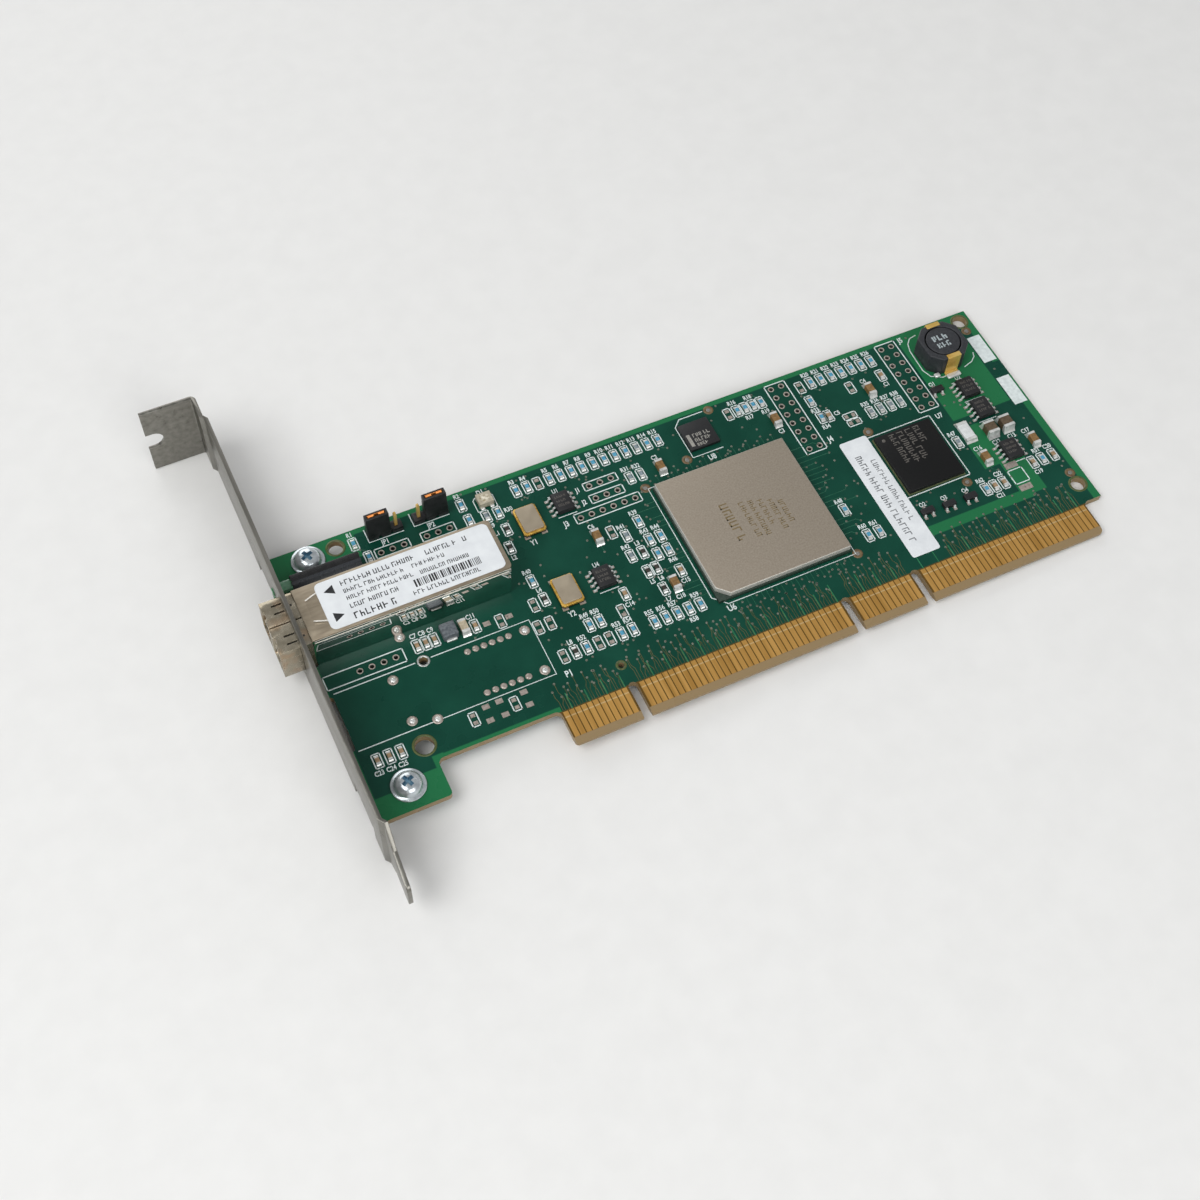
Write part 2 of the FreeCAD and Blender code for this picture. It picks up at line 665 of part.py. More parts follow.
def transceiver_nose():
    """The duplex receptacle: two ports side by side, with latch slots and a plug that enters the case."""
    shell = across_transceiver(NOSE_FRONT, TRANSCEIVER_START, NOSE_WIDTH, NOSE_FLOOR, NOSE_TOP)
    plug = across_transceiver(TRANSCEIVER_START, NOSE_BACK, CASE_INSIDE, NOSE_FLOOR, NOSE_TOP)
    body = shell.fuse(plug)
    roof = PORT_BOTTOM + PORT_HEIGHT
    cuts = []
    for y in port_centres():
        cuts.append(box(NOSE_FRONT - 1, NOSE_FRONT + PORT_DEPTH, y - PORT_WIDTH / 2, y + PORT_WIDTH / 2,
                        PORT_BOTTOM, roof))
        cuts.append(block(NOSE_FRONT, y, roof - 1, 2 * KEY_NOTCH_DEPTH, KEY_NOTCH_WIDTH, NOSE_TOP))
        hole = round_corners(y, OPTICAL_AXIS, SLEEVE_R + SLEEVE_CLEARANCE)
        cuts.append(rounded_prism(hole, "yz", NOSE_FRONT, NOSE_BACK + 1))
    for side in (-1, 1):
        for edge in (-1, 1):
            y = TRANSCEIVER_Y + side * LATCH_PITCH / 2 + edge * LATCH_SLOT_SPREAD / 2
            x = NOSE_FRONT + LATCH_FROM_FRONT
            cuts.append(box(x, x + LATCH_SLOT_LENGTH, y - LATCH_SLOT_WIDTH / 2, y + LATCH_SLOT_WIDTH / 2,
                            roof - 1, NOSE_TOP + 1))
    groove_floor = NOSE_TOP - NOSE_GROOVE_DEPTH
    groove = across_transceiver(NOSE_FRONT - 1, TRANSCEIVER_START, NOSE_GROOVE, groove_floor, NOSE_TOP + 1)
    cuts.append(groove)
    return body.cut(cuts)


def optical_barrel(y):
    """A lens barrel behind one port, with the sleeve that takes the plug's ferrule."""
    sleeve = round_corners(y, OPTICAL_AXIS, SLEEVE_R)
    can = round_corners(y, OPTICAL_AXIS, BARREL_R)
    barrel = rounded_prism(can, "yz", NOSE_BACK, NOSE_BACK + BARREL_LENGTH)
    return barrel.fuse(rounded_prism(sleeve, "yz", NOSE_FRONT + SLEEVE_REACH, NOSE_BACK))


def transceiver_board():
    end = TRANSCEIVER_END - INNER_BOARD_END - CASE_WALL
    top = INNER_BOARD_Z + INNER_BOARD_THICKNESS
    return across_transceiver(NOSE_BACK + BARREL_LENGTH, end, CASE_INSIDE, INNER_BOARD_Z, top)


def transceiver_pins():
    """Signal pins and posts that hang from the inner board and go through the card."""
    low = BOARD_BOTTOM - TAIL_LENGTH
    pins, posts = transceiver_pin_places()
    solids = [block(x, y, low, PIN_SIZE, PIN_SIZE, INNER_BOARD_Z - low) for x, y in pins]
    solids += [block(x, y, low, POST_SIZE, POST_SIZE, INNER_BOARD_Z - low) for x, y in posts]
    return group(solids)


def transceiver_label():
    x0 = TRANSCEIVER_START + LABEL_START
    x1 = TRANSCEIVER_END - LABEL_MARGIN - COVER_SHEET
    width = COVER_WIDTH - 2 * LABEL_MARGIN
    return rounded_block((x0 + x1) / 2, TRANSCEIVER_Y, TRANSCEIVER_HEIGHT, x1 - x0, width,
                         LABEL_THICKNESS, LABEL_CORNER_R)


def light_guide_holder():
    half = GUIDE_WIDTH / 2
    corners = [
        (GUIDE_Y - half, 0, 0),
        (GUIDE_Y + half, 0, 0),
        (GUIDE_Y + half, GUIDE_HEIGHT, 0),
        (GUIDE_Y - half + GUIDE_BEVEL, GUIDE_HEIGHT, 0),
        (GUIDE_Y - half, GUIDE_HEIGHT - GUIDE_BEVEL, 0),
    ]
    return rounded_prism(corners, "yz", GUIDE_START, GUIDE_START + GUIDE_LENGTH)


def light_guide():
    """The clear guide between the holder and the bracket, with two stubs that show through the bracket."""
    bar = box(BRACKET_INNER, GUIDE_START, GUIDE_Y - LENS_WIDTH / 2, GUIDE_Y + LENS_WIDTH / 2,
              LENS_BOTTOM, LENS_BOTTOM + LENS_HEIGHT)
    stubs = []
    for z in lens_stub_heights():
        outline = round_corners(GUIDE_Y, z, LENS_STUB_R)
        stubs.append(rounded_prism(outline, "yz", BRACKET_OUTER - LENS_PROUD, BRACKET_INNER))
    return bar.fuse(stubs)


def header_base(column):
    """A three-way header body with notches between its pins."""
    first = column * COLUMN
    y = JUMPER_ROW * ROW
    tall = BASE_HEIGHT + 2
    body = block(first + HEADER_PITCH, y, 0, 3 * HEADER_PITCH, BASE_WIDTH, BASE_HEIGHT)
    cuts = [block(first + i * HEADER_PITCH, y, -1, HEADER_PIN, HEADER_PIN, tall) for i in range(3)]
    for i in range(2):
        x = first + (i + 0.5) * HEADER_PITCH
        for side in (-1, 1):
            cuts.append(block(x, y + side * BASE_WIDTH / 2, -1, 2 * BASE_NOTCH, 2 * BASE_NOTCH, tall))
    return body.cut(cuts)


def header_pins():
    filled, opened = header_places()
    low = BOARD_BOTTOM - TAIL_LENGTH
    return group([block(x, y, low, HEADER_PIN, HEADER_PIN, HEADER_PIN_TOP - low) for x, y in filled])


def shunt_places():
    """Middle of each shunt: the left header is bridged on its first pins, the right one on its last."""
    y = JUMPER_ROW * ROW
    first, second = (column * COLUMN for column in JUMPER_COLUMNS)
    return [(first + 0.5 * HEADER_PITCH, y), (second + 1.5 * HEADER_PITCH, y)]


def jumper_shunt(x, y):
    body = block(x, y, BASE_HEIGHT, SHUNT_LENGTH, SHUNT_WIDTH, SHUNT_HEIGHT)
    slot = block(x, y, BASE_HEIGHT - 1, SHUNT_SLOT_LENGTH, SHUNT_SLOT_WIDTH, SHUNT_HEIGHT + 2)
    return body.cut(slot)


def shunt_clip(x, y):
    """The spring strip inside a shunt: a leaf beside the pins, turned over at the top."""
    top = BASE_HEIGHT + SHUNT_HEIGHT - CLIP_FROM_TOP
    y0 = y + HEADER_PIN / 2
    y1 = y + SHUNT_SLOT_WIDTH / 2
    x0 = x - CLIP_WIDTH / 2
    x1 = x + CLIP_WIDTH / 2
    leaf = box(x0, x1, y0, y0 + CLIP_SHEET, BASE_HEIGHT + CLIP_FROM_TOP, top)
    bridge = box(x0, x1, y0, y1, top, top + CLIP_SHEET)
    return leaf.fuse(bridge)


def controller_substrate():
    return block(*grid(CONTROLLER), 0, SUBSTRATE_SIZE, SUBSTRATE_SIZE, SUBSTRATE_HEIGHT)


def controller_lid():
    """The heat-spreading lid, with the corner cut off that marks the first terminal."""
    x, y = grid(CONTROLLER)
    half = SUBSTRATE_SIZE / 2 - LID_INSET
    corners = [
        (x - half + LID_CHAMFER, y - half, 0),
        (x + half, y - half, 0),
        (x + half, y + half, 0),
        (x - half, y + half, 0),
        (x - half, y - half + LID_CHAMFER, 0),
    ]
    return rounded_prism(corners, "xy", SUBSTRATE_HEIGHT, SUBSTRATE_HEIGHT + LID_HEIGHT)


def memory_chip():
    return block(*grid(MEMORY_CHIP), 0, MEMORY_LENGTH, MEMORY_WIDTH, MEMORY_HEIGHT)


def clock_chip():
    return block(*grid(CLOCK_CHIP), 0, CLOCK_SIZE, CLOCK_SIZE, CLOCK_HEIGHT)


def drafted_body(x, y, z0, length, width, height, draft):
    """A moulded chip body, widest at its parting line half way up."""
    rings = []
    for z, inset in ((z0, draft), (z0 + height / 2, 0), (z0 + height, draft)):
        dx = length / 2 - inset
        dy = width / 2 - inset
        points = [V(x + i * dx, y + j * dy, z) for i, j in ((-1, -1), (1, -1), (1, 1), (-1, 1), (-1, -1))]
        rings.append(Part.makePolygon(points))
    return Part.makeLoft(rings, True, True)


def gull_lead(start, side, reach, foot, height):
    """Outline of a bent lead, as (distance along the lead's direction, z)."""
    knee = start + reach - foot
    points = [
        (start, height + LEAD_SHEET / 2),
        (knee, LEAD_SHEET),
        (start + reach, LEAD_SHEET),
        (start + reach, 0),
        (knee - LEAD_SHEET, 0),
        (start, height - LEAD_SHEET / 2),
    ]
    return [(side * distance, z, 0) for distance, z in points]


def small_chip_leads(place):
    x, y = grid(place)
    height = SMALL_CHIP_STAND + SMALL_CHIP_HEIGHT / 2
    solids = []
    for side in (-1, 1):
        outline = gull_lead(SMALL_CHIP_WIDTH / 2, side, LEAD_REACH, LEAD_FOOT, height)
        for i in range(4):
            lead_y = y + (i - 1.5) * LEAD_PITCH
            lead = rounded_prism(outline, "xz", lead_y - LEAD_WIDTH / 2, lead_y + LEAD_WIDTH / 2)
            lead.translate(V(x, 0, 0))
            solids.append(lead)
    return solids


def transistor_leads(place):
    """Two leads towards the connector and one away from it."""
    x, y = grid(place)
    solids = []
    for side, across in ((-1, -1), (-1, 1), (1, 0)):
        outline = gull_lead(TRANSISTOR_WIDTH / 2, side, TRANSISTOR_LEAD_REACH, TRANSISTOR_LEAD_FOOT,
                            TRANSISTOR_HEIGHT / 2)
        lead_x = x + across * TRANSISTOR_LEAD_PITCH
        lead = rounded_prism(outline, "yz", lead_x - LEAD_WIDTH / 2, lead_x + LEAD_WIDTH / 2)
        lead.translate(V(0, y, 0))
        solids.append(lead)
    return solids


def oscillator_base(place):
    """The ceramic base, with a plated notch in each corner."""
    x, y = grid(place)
    base = block(x, y, 0, OSCILLATOR_WIDTH, OSCILLATOR_LENGTH, OSCILLATOR_BASE_HEIGHT)
    cuts = []
    for i in (-1, 1):
        for j in (-1, 1):
            cuts.append(block(x + i * OSCILLATOR_WIDTH / 2, y + j * OSCILLATOR_LENGTH / 2, -1, CORNER_NOTCH,
                              CORNER_NOTCH, OSCILLATOR_BASE_HEIGHT + 2))
    return base.cut(cuts)


def oscillator_lid(place):
    width = OSCILLATOR_WIDTH - 2 * OSCILLATOR_LID_INSET
    length = OSCILLATOR_LENGTH - 2 * OSCILLATOR_LID_INSET
    return rounded_block(*grid(place), OSCILLATOR_BASE_HEIGHT, width, length, OSCILLATOR_LID_HEIGHT,
                         OSCILLATOR_CORNER_R)


def surface_light_base():
    x, y = grid(SURFACE_LIGHT)
    base = block(x, y, LIGHT_LEAD_SHEET, LIGHT_LENGTH, LIGHT_WIDTH, LIGHT_HEIGHT)
    top = LIGHT_LEAD_SHEET + LIGHT_HEIGHT
    return base.cut(rounded_prism(round_corners(x, y, LIGHT_CUP_R), "xy", top - LIGHT_CUP_DEPTH, top + 1))


def surface_light_lens():
    x, y = grid(SURFACE_LIGHT)
    top = LIGHT_LEAD_SHEET + LIGHT_HEIGHT
    return rounded_prism(round_corners(x, y, LIGHT_CUP_R), "xy", top - LIGHT_CUP_DEPTH, top)


def surface_light_leads():
    x, y = grid(SURFACE_LIGHT)
    solids = []
    for i in (-1, 1):
        for j in (-1, 1):
            lead_y = y + j * (LIGHT_WIDTH / 2 - LIGHT_LEAD_WIDTH / 2)
            lead_x = x + i * (LIGHT_LENGTH / 2 - LIGHT_LEAD_WIDTH / 2)
            solids.append(block(lead_x, lead_y, 0, LIGHT_LEAD_WIDTH, LIGHT_LEAD_WIDTH, LIGHT_LEAD_SHEET))
    return group(solids)


def inductor_ring():
    """The ferrite shield: a square block with its corners cut off and a round well."""
    x, y = grid(INDUCTOR)
    half = INDUCTOR_SIZE / 2
    cut = half - INDUCTOR_CHAMFER
    sides = ((-cut, -half), (cut, -half), (half, -cut), (half, cut))
    corners = [(x + sign * a, y + sign * b, 0) for sign in (1, -1) for a, b in sides]
    shield = rounded_prism(corners, "xy", 0, INDUCTOR_HEIGHT)
    return shield.cut(Part.makeCylinder(DRUM_R + DRUM_GAP, INDUCTOR_HEIGHT + 2, V(x, y, -1)))


def inductor_drum():
    x, y = grid(INDUCTOR)
    core = rounded_prism(round_corners(x, y, DRUM_CORE_R), "xy", DRUM_FLANGE, INDUCTOR_HEIGHT - DRUM_FLANGE)
    low = rounded_prism(round_corners(x, y, DRUM_R), "xy", 0, DRUM_FLANGE)
    high = Part.makeCylinder(DRUM_R, DRUM_FLANGE, V(x, y, INDUCTOR_HEIGHT - DRUM_FLANGE))
    return core.fuse([low, high])


def inductor_winding():
    x, y = grid(INDUCTOR)
    low = DRUM_FLANGE + WINDING_GAP
    high = INDUCTOR_HEIGHT - DRUM_FLANGE - WINDING_GAP
    outer = rounded_prism(round_corners(x, y, DRUM_R - WINDING_GAP), "xy", low, high)
    return outer.cut(rounded_prism(round_corners(x, y, DRUM_CORE_R + WINDING_GAP), "xy", low, high))


def inductor_terminals():
    """Plated strips that lap over the shield, run down its side and end in a soldered foot."""
    x, y = grid(INDUCTOR)
    half = INDUCTOR_SIZE / 2
    top = INDUCTOR_HEIGHT
    solids = []
    for side in (-1, 1):
        outline = [
            (half - TERMINAL_LAP, top), (half, top), (half, 0), (half + TERMINAL_FOOT, 0),
            (half + TERMINAL_FOOT, TERMINAL_SHEET), (half + TERMINAL_SHEET, TERMINAL_SHEET),
            (half + TERMINAL_SHEET, top + TERMINAL_SHEET), (half - TERMINAL_LAP, top + TERMINAL_SHEET),
        ]
        corners = [(y + side * a, z, 0) for a, z in outline]
        solids.append(rounded_prism(corners, "yz", x - TERMINAL_WIDTH / 2, x + TERMINAL_WIDTH / 2))
    return group(solids)


def small_chip_parts(places):
    return group([block(*grid(place), 0, CHIP_WIDTH, CHIP_LENGTH, CHIP_HEIGHT) for place in places])


def chip_middles(places, length, width, height, cap):
    return group([block(*grid(place), 0, width, length - 2 * cap, height) for place in places])


def chip_caps(places, length, width, height, cap):
    """The metal caps on both ends of each chip part."""
    solids = []
    for x, y in map(grid, places):
        for side in (-1, 1):
            solids.append(block(x, y + side * (length - cap) / 2, 0, width, cap, height))
    return solids


def filter_coil():
    return block(*grid(FILTER_COIL), 0, FILTER_COIL_SIZE, FILTER_COIL_SIZE, FILTER_COIL_HEIGHT)


def stock_label():
    right = MEMORY_CHIP[0] * COLUMN - MEMORY_LENGTH / 2 - STOCK_LABEL_GAP
    return rounded_block(right - STOCK_LABEL_WIDTH / 2, STOCK_LABEL_ROW * ROW, 0, STOCK_LABEL_WIDTH,
                         STOCK_LABEL_LENGTH, LABEL_THICKNESS, STOCK_LABEL_CORNER_R)


# Places of the chip parts, in grid steps
TOP_ROW = steps(21.2, 23.47, 14, 1.01)
BLUE_RESISTORS = (
    TOP_ROW[:2] + TOP_ROW[3:11] + TOP_ROW[12:]
    + steps(26.22, 7.32, 5, 1.02)
    + steps(42.0, 23.5, 4, 0.77)
    + steps(49.3, 23.65, 7, 1.01)
    + [(7.0, 23.97), (7.7, 22.28), (16.45, 23.97), (16.5, 22.32), (18.98, 22.08), (18.82, 14.8)]
    + [(21.34, 9.18), (22.28, 9.2), (20.3, 7.4), (23.35, 7.4), (24.35, 7.4)]
    + [(29.2, 16.57), (29.28, 14.57), (29.28, 13.05), (30.27, 14.57), (30.25, 13.1)]
    + [(48.3, 21.85), (48.35, 19.92), (63.55, 8.43), (57.45, 7.63)]
    + [(46.0, 7.62), (47.03, 7.58), (45.43, 10.63)]
)
GREY_RESISTORS = (
    [TOP_ROW[11]]
    + steps(52.58, 18.7, 4, 0.97)
    + [(17.95, 22.12), (27.68, 15.7), (27.2, 13.74), (31.5, 20.8), (30.5, 20.85), (57.8, 12.83)]
)
DARK_BEADS = (
    [(18.98, 20.24), (18.5, 18.5), (19.05, 12.83), (19.3, 7.4)]
    + [(28.23, 13.7), (27.8, 11.85), (28.58, 11.88), (28.27, 9.84)]
)
SMALL_CAPACITORS = (
    steps(1.7, 4.88, 3, 0.96)
    + steps(8.15, 12.95, 3, 0.73)
    + [(13.03, 12.8), (25.16, 10.67), (30.28, 10.87), (49.02, 19.84), (55.4, 21.9)]
    + [(58.3, 7.63), (59.2, 7.63), (62.6, 8.43), (64.65, 8.43)]
)
LARGE_CAPACITORS = (
    [(25.4, 16.5), (33.27, 20.75), (44.53, 21.26), (53.62, 20.79)]
    + [(29.25, 9.88), (59.06, 10.4), (63.86, 10.4)]
)
WIDE_CAPACITORS = [(60.94, 12.76), (62.48, 12.8)]
PALE_CAPACITORS = [(12.13, 13.0)]
LARGE = (LARGE_LENGTH, LARGE_WIDTH, LARGE_HEIGHT, LARGE_CAP)
WIDE = (LARGE_LENGTH, WIDE_WIDTH, WIDE_HEIGHT, LARGE_CAP)
SENSE = (SENSE_LENGTH, SENSE_WIDTH, SENSE_HEIGHT, SENSE_CAP)


def capacitor_caps():
    return group(chip_caps(LARGE_CAPACITORS + PALE_CAPACITORS, *LARGE) + chip_caps(WIDE_CAPACITORS, *WIDE))


def small_chip_body(place):
    return drafted_body(*grid(place), SMALL_CHIP_STAND, SMALL_CHIP_WIDTH, SMALL_CHIP_LENGTH,
                        SMALL_CHIP_HEIGHT, SMALL_CHIP_DRAFT)


def transistor_body(place):
    return block(*grid(place), LEAD_SHEET / 2, TRANSISTOR_LENGTH, TRANSISTOR_WIDTH, TRANSISTOR_HEIGHT)


def all_pieces():
    """Every piece by the name of its node."""
    low_barrel, high_barrel = (optical_barrel(y) for y in port_centres())
    return {
        "circuit_board": circuit_board(),
        "edge_contacts_front": edge_contacts(0),
        "edge_contacts_back": edge_contacts(BOARD_BOTTOM - CONTACT_THICKNESS),
        "bracket": bracket(),
        "bracket_screws": group([bracket_screw(x, y) for x, y in SCREW_PLACES]),
        "transceiver_case": transceiver_case(),
        "transceiver_cover": transceiver_cover(),
        "transceiver_nose": transceiver_nose(),
        "transceiver_label": transceiver_label(),
        "receiver_barrel": low_barrel,
        "transmitter_barrel": high_barrel,
        "transceiver_board": transceiver_board(),
        "transceiver_pins": transceiver_pins(),
        "light_guide_holder": light_guide_holder(),
        "light_guide": light_guide(),
        "header_bases": group([header_base(column) for column in JUMPER_COLUMNS]),
        "header_pins": header_pins(),
        "jumper_shunts": group([jumper_shunt(x, y) for x, y in shunt_places()]),
        "shunt_clips": group([shunt_clip(x, y) for x, y in shunt_places()]),
        "controller_substrate": controller_substrate(),
        "controller_lid": controller_lid(),
        "memory_chip": memory_chip(),
        "clock_chip": clock_chip(),
        "small_chip_bodies": group([small_chip_body(place) for place in EIGHT_LEAD_CHIPS]),
        "small_chip_leads": group([lead for place in EIGHT_LEAD_CHIPS for lead in small_chip_leads(place)]),
        "transistor_bodies": group([transistor_body(place) for place in TRANSISTORS]),
        "transistor_leads": group([lead for place in TRANSISTORS for lead in transistor_leads(place)]),
        "oscillator_bases": group([oscillator_base(place) for place in OSCILLATORS]),
        "oscillator_lids": group([oscillator_lid(place) for place in OSCILLATORS]),
        "surface_light_base": surface_light_base(),
        "surface_light_lens": surface_light_lens(),
        "surface_light_leads": surface_light_leads(),
        "inductor_ring": inductor_ring(),
        "inductor_drum": inductor_drum(),
        "inductor_winding": inductor_winding(),
        "inductor_terminals": inductor_terminals(),
        "blue_resistors": small_chip_parts(BLUE_RESISTORS),
        "grey_resistors": small_chip_parts(GREY_RESISTORS),
        "dark_beads": small_chip_parts(DARK_BEADS),
        "small_capacitors": small_chip_parts(SMALL_CAPACITORS),
        "large_capacitors": chip_middles(LARGE_CAPACITORS, *LARGE),
        "wide_capacitors": chip_middles(WIDE_CAPACITORS, *WIDE),
        "pale_capacitor": chip_middles(PALE_CAPACITORS, *LARGE),
        "capacitor_caps": capacitor_caps(),
        "sense_resistor": chip_middles([SENSE_RESISTOR], *SENSE),
        "sense_resistor_caps": group(chip_caps([SENSE_RESISTOR], *SENSE)),
        "filter_coil": filter_coil(),
        "stock_label": stock_label(),
    }


# The finished part's origin is under the middle of its box, at the height of the bracket's lower edge
ORIGIN = V((TAB_END + BOARD_LENGTH) / 2, (BRACKET_TOP + BRACKET_TIP) / 2, BRACKET_LOW)

os.makedirs("parts", exist_ok=True)
for name, shape in all_pieces().items():
    shape.translate(-ORIGIN)
    shape.exportStep("parts/" + name + ".step")
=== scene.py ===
import math
import random

import bmesh
import bpy
from mathutils import Matrix, Vector


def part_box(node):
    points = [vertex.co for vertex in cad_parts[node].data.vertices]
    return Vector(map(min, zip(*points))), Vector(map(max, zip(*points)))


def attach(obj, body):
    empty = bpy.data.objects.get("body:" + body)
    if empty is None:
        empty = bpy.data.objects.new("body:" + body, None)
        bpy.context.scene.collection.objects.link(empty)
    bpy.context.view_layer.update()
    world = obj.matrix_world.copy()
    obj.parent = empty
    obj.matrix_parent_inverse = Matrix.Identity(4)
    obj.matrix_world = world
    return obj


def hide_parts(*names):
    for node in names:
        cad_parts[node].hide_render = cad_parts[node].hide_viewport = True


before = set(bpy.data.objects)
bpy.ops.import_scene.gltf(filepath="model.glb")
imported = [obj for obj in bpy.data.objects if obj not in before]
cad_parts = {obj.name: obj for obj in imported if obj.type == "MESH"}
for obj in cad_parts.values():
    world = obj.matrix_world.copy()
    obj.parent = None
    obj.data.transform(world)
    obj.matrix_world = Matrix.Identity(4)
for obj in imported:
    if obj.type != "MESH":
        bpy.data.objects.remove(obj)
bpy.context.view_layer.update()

# Floor, lamps and camera: a plain pale table top, which fades to an even tone far away, under
# three soft lamps. The card leans on its bracket's lower edge and on its far end, so the table
# top is tilted to touch both.
card_low, card_high = (Vector(corner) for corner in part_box("circuit_board"))


def at(x, y, z=0.0):
    """A place on the card: millimetres from its bracket edge, its connector edge and its upper face."""
    return Vector((card_low.x + x / 1000, card_low.y + y / 1000, card_high.z + z / 1000))


bracket_edge, far_edge = at(-0.9, 0, -4.92), at(167.6, 0, -1.62)
lean = (far_edge.z - bracket_edge.z) / (far_edge.x - bracket_edge.x)
table_half, table_gap = 6, 0.00003
square = ((-1, -1), (1, -1), (1, 1), (-1, 1))
table_corners = []
for x, y in ((i * table_half, j * table_half) for i, j in square):
    table_corners.append((x, y, bracket_edge.z + (x - bracket_edge.x) * lean - table_gap))
table_mesh = bpy.data.meshes.new("table_top")
table_mesh.from_pydata(table_corners, [], [(0, 1, 2, 3)])


def placed(name, data):
    """A new object in the scene."""
    thing = bpy.data.objects.new(name, data)
    bpy.context.collection.objects.link(thing)
    return thing


def tone(code):
    """Linear colour of a six-digit colour code."""
    parts = [int(code[i:i + 2], 16) / 255 for i in (0, 2, 4)]
    return [p / 12.92 if p < 0.04045 else ((p + 0.055) / 1.055) ** 2.4 for p in parts] + [1.0]


def feed(tree, node, inputs):
    """Sets a node's inputs, each to a value, to an output or to the first output of a node."""
    for key, value in inputs.items():
        if isinstance(value, bpy.types.Node):
            value = value.outputs[0]
        if isinstance(value, bpy.types.NodeSocket):
            tree.links.new(value, node.inputs[key])
        else:
            node.inputs[key].default_value = value
    return node


def wire(tree, kind, inputs=None, **settings):
    """Adds a node to a tree, with its settings and inputs."""
    node = tree.nodes.new(kind)
    for key, value in settings.items():
        setattr(node, key, value)
    return feed(tree, node, inputs or {})


def ramp(tree, share, stops):
    """A colour ramp; each stop is its position and its colour."""
    made = wire(tree, "ShaderNodeValToRGB", {"Fac": share})
    elements = made.color_ramp.elements
    while len(elements) < len(stops):
        elements.new(1.0)
    for element, (position, colour) in zip(elements, stops):
        element.position = position
        element.color = colour
    return made


def skin(finish, inputs=None):
    """The surface node of a finish, with inputs set where given."""
    return feed(finish.node_tree, finish.node_tree.nodes["Principled BSDF"], inputs or {})


def where(tree):
    return tree.nodes["Texture Coordinate"].outputs["Object"]


def grown(name, dark, light, grain, rough=(0.4, 0.55), metallic=0.0, bump=0.0, stretch=(1, 1, 1)):
    """A finish whose colour, gloss and relief vary with a grain of the given size in millimetres."""
    made = bpy.data.materials.new(name)
    made.use_nodes = True
    tree = made.node_tree
    wire(tree, "ShaderNodeTexCoord")
    size = [1000 / grain * s for s in stretch]
    scale = wire(tree, "ShaderNodeMapping", {"Vector": where(tree), "Scale": size})
    noise = wire(tree, "ShaderNodeTexNoise", {"Vector": scale, "Scale": 1.0, "Detail": 5.0})
    colour = ramp(tree, noise, [(0.32, tone(dark)), (0.68, tone(light))])
    span = {"Value": noise, "From Min": 0.3, "From Max": 0.7, "To Min": rough[0], "To Max": rough[1]}
    gloss = wire(tree, "ShaderNodeMapRange", span)
    skin(made, {"Base Color": colour, "Roughness": gloss, "Metallic": metallic})
    if bump:
        relief = {"Height": noise, "Strength": bump, "Distance": grain / 4000}
        skin(made, {"Normal": wire(tree, "ShaderNodeBump", relief)})
    return made


def maths(tree, way, first, second=0.0):
    return wire(tree, "ShaderNodeMath", {0: first, 1: second}, operation=way)


def seen_directly(tree):
    """One for rays that show the backdrop: the camera's, those off gloss and those through clear pieces."""
    rays = wire(tree, "ShaderNodeLightPath").outputs
    near = maths(tree, "MAXIMUM", rays["Is Camera Ray"], rays["Is Glossy Ray"])
    return maths(tree, "MAXIMUM", near, rays["Is Transmission Ray"])


backdrop, room = (0.78, 0.78, 0.775, 1), (0.372, 0.372, 0.378, 1)
table_finish = grown("pale_table", "e3e3e1", "e6e6e4", 6, rough=(0.6, 0.7))
table_tree = table_finish.node_tree
table_far = wire(table_tree, "ShaderNodeVectorMath", {0: where(table_tree)}, operation="LENGTH")
table_span = {"Value": table_far.outputs["Value"], "From Min": 0.28, "From Max": 0.8}
table_fade = wire(table_tree, "ShaderNodeMapRange", table_span, interpolation_type="SMOOTHSTEP")
table_share = maths(table_tree, "MULTIPLY", table_fade, seen_directly(table_tree))
table_glow = wire(table_tree, "ShaderNodeEmission", {"Color": backdrop})
table_both = {"Fac": table_share, 1: skin(table_finish), 2: table_glow}
table_mix = wire(table_tree, "ShaderNodeMixShader", table_both)
feed(table_tree, table_tree.nodes["Material Output"], {"Surface": table_mix})
table_mesh.materials.append(table_finish)
table = placed("table_top", table_mesh)

sky = bpy.data.worlds.new("soft_room")
bpy.context.scene.world = sky
sky.use_nodes = True
sky_tree = sky.node_tree
sky_way = wire(sky_tree, "ShaderNodeTexCoord").outputs["Generated"]
sky_height = wire(sky_tree, "ShaderNodeSeparateXYZ", {"Vector": sky_way}).outputs["Z"]
sky_ramp = ramp(sky_tree, sky_height, [(0.0, backdrop), (0.3, room)])
sky_both = {"Fac": seen_directly(sky_tree), "Color1": room, "Color2": sky_ramp}
feed(sky_tree, sky_tree.nodes["Background"], {"Color": wire(sky_tree, "ShaderNodeMixRGB", sky_both)})

card_middle = at(84, 32)
for name, place, size, power in (("left_soft_box", at(-560, -100, 900), 0.70, 6.6),
                                 ("front_soft_box", at(140, -800, 680), 0.62, 4.0),
                                 ("back_soft_box", at(20, 980, 340), 0.70, 2.7)):
    lamp = bpy.data.lights.new(name, "AREA")
    lamp.size = size
    lamp.energy = power
    lamp_object = placed(name, lamp)
    lamp_object.location = place
    lamp_object.rotation_euler = (card_middle - place).to_track_quat("-Z", "Y").to_euler()

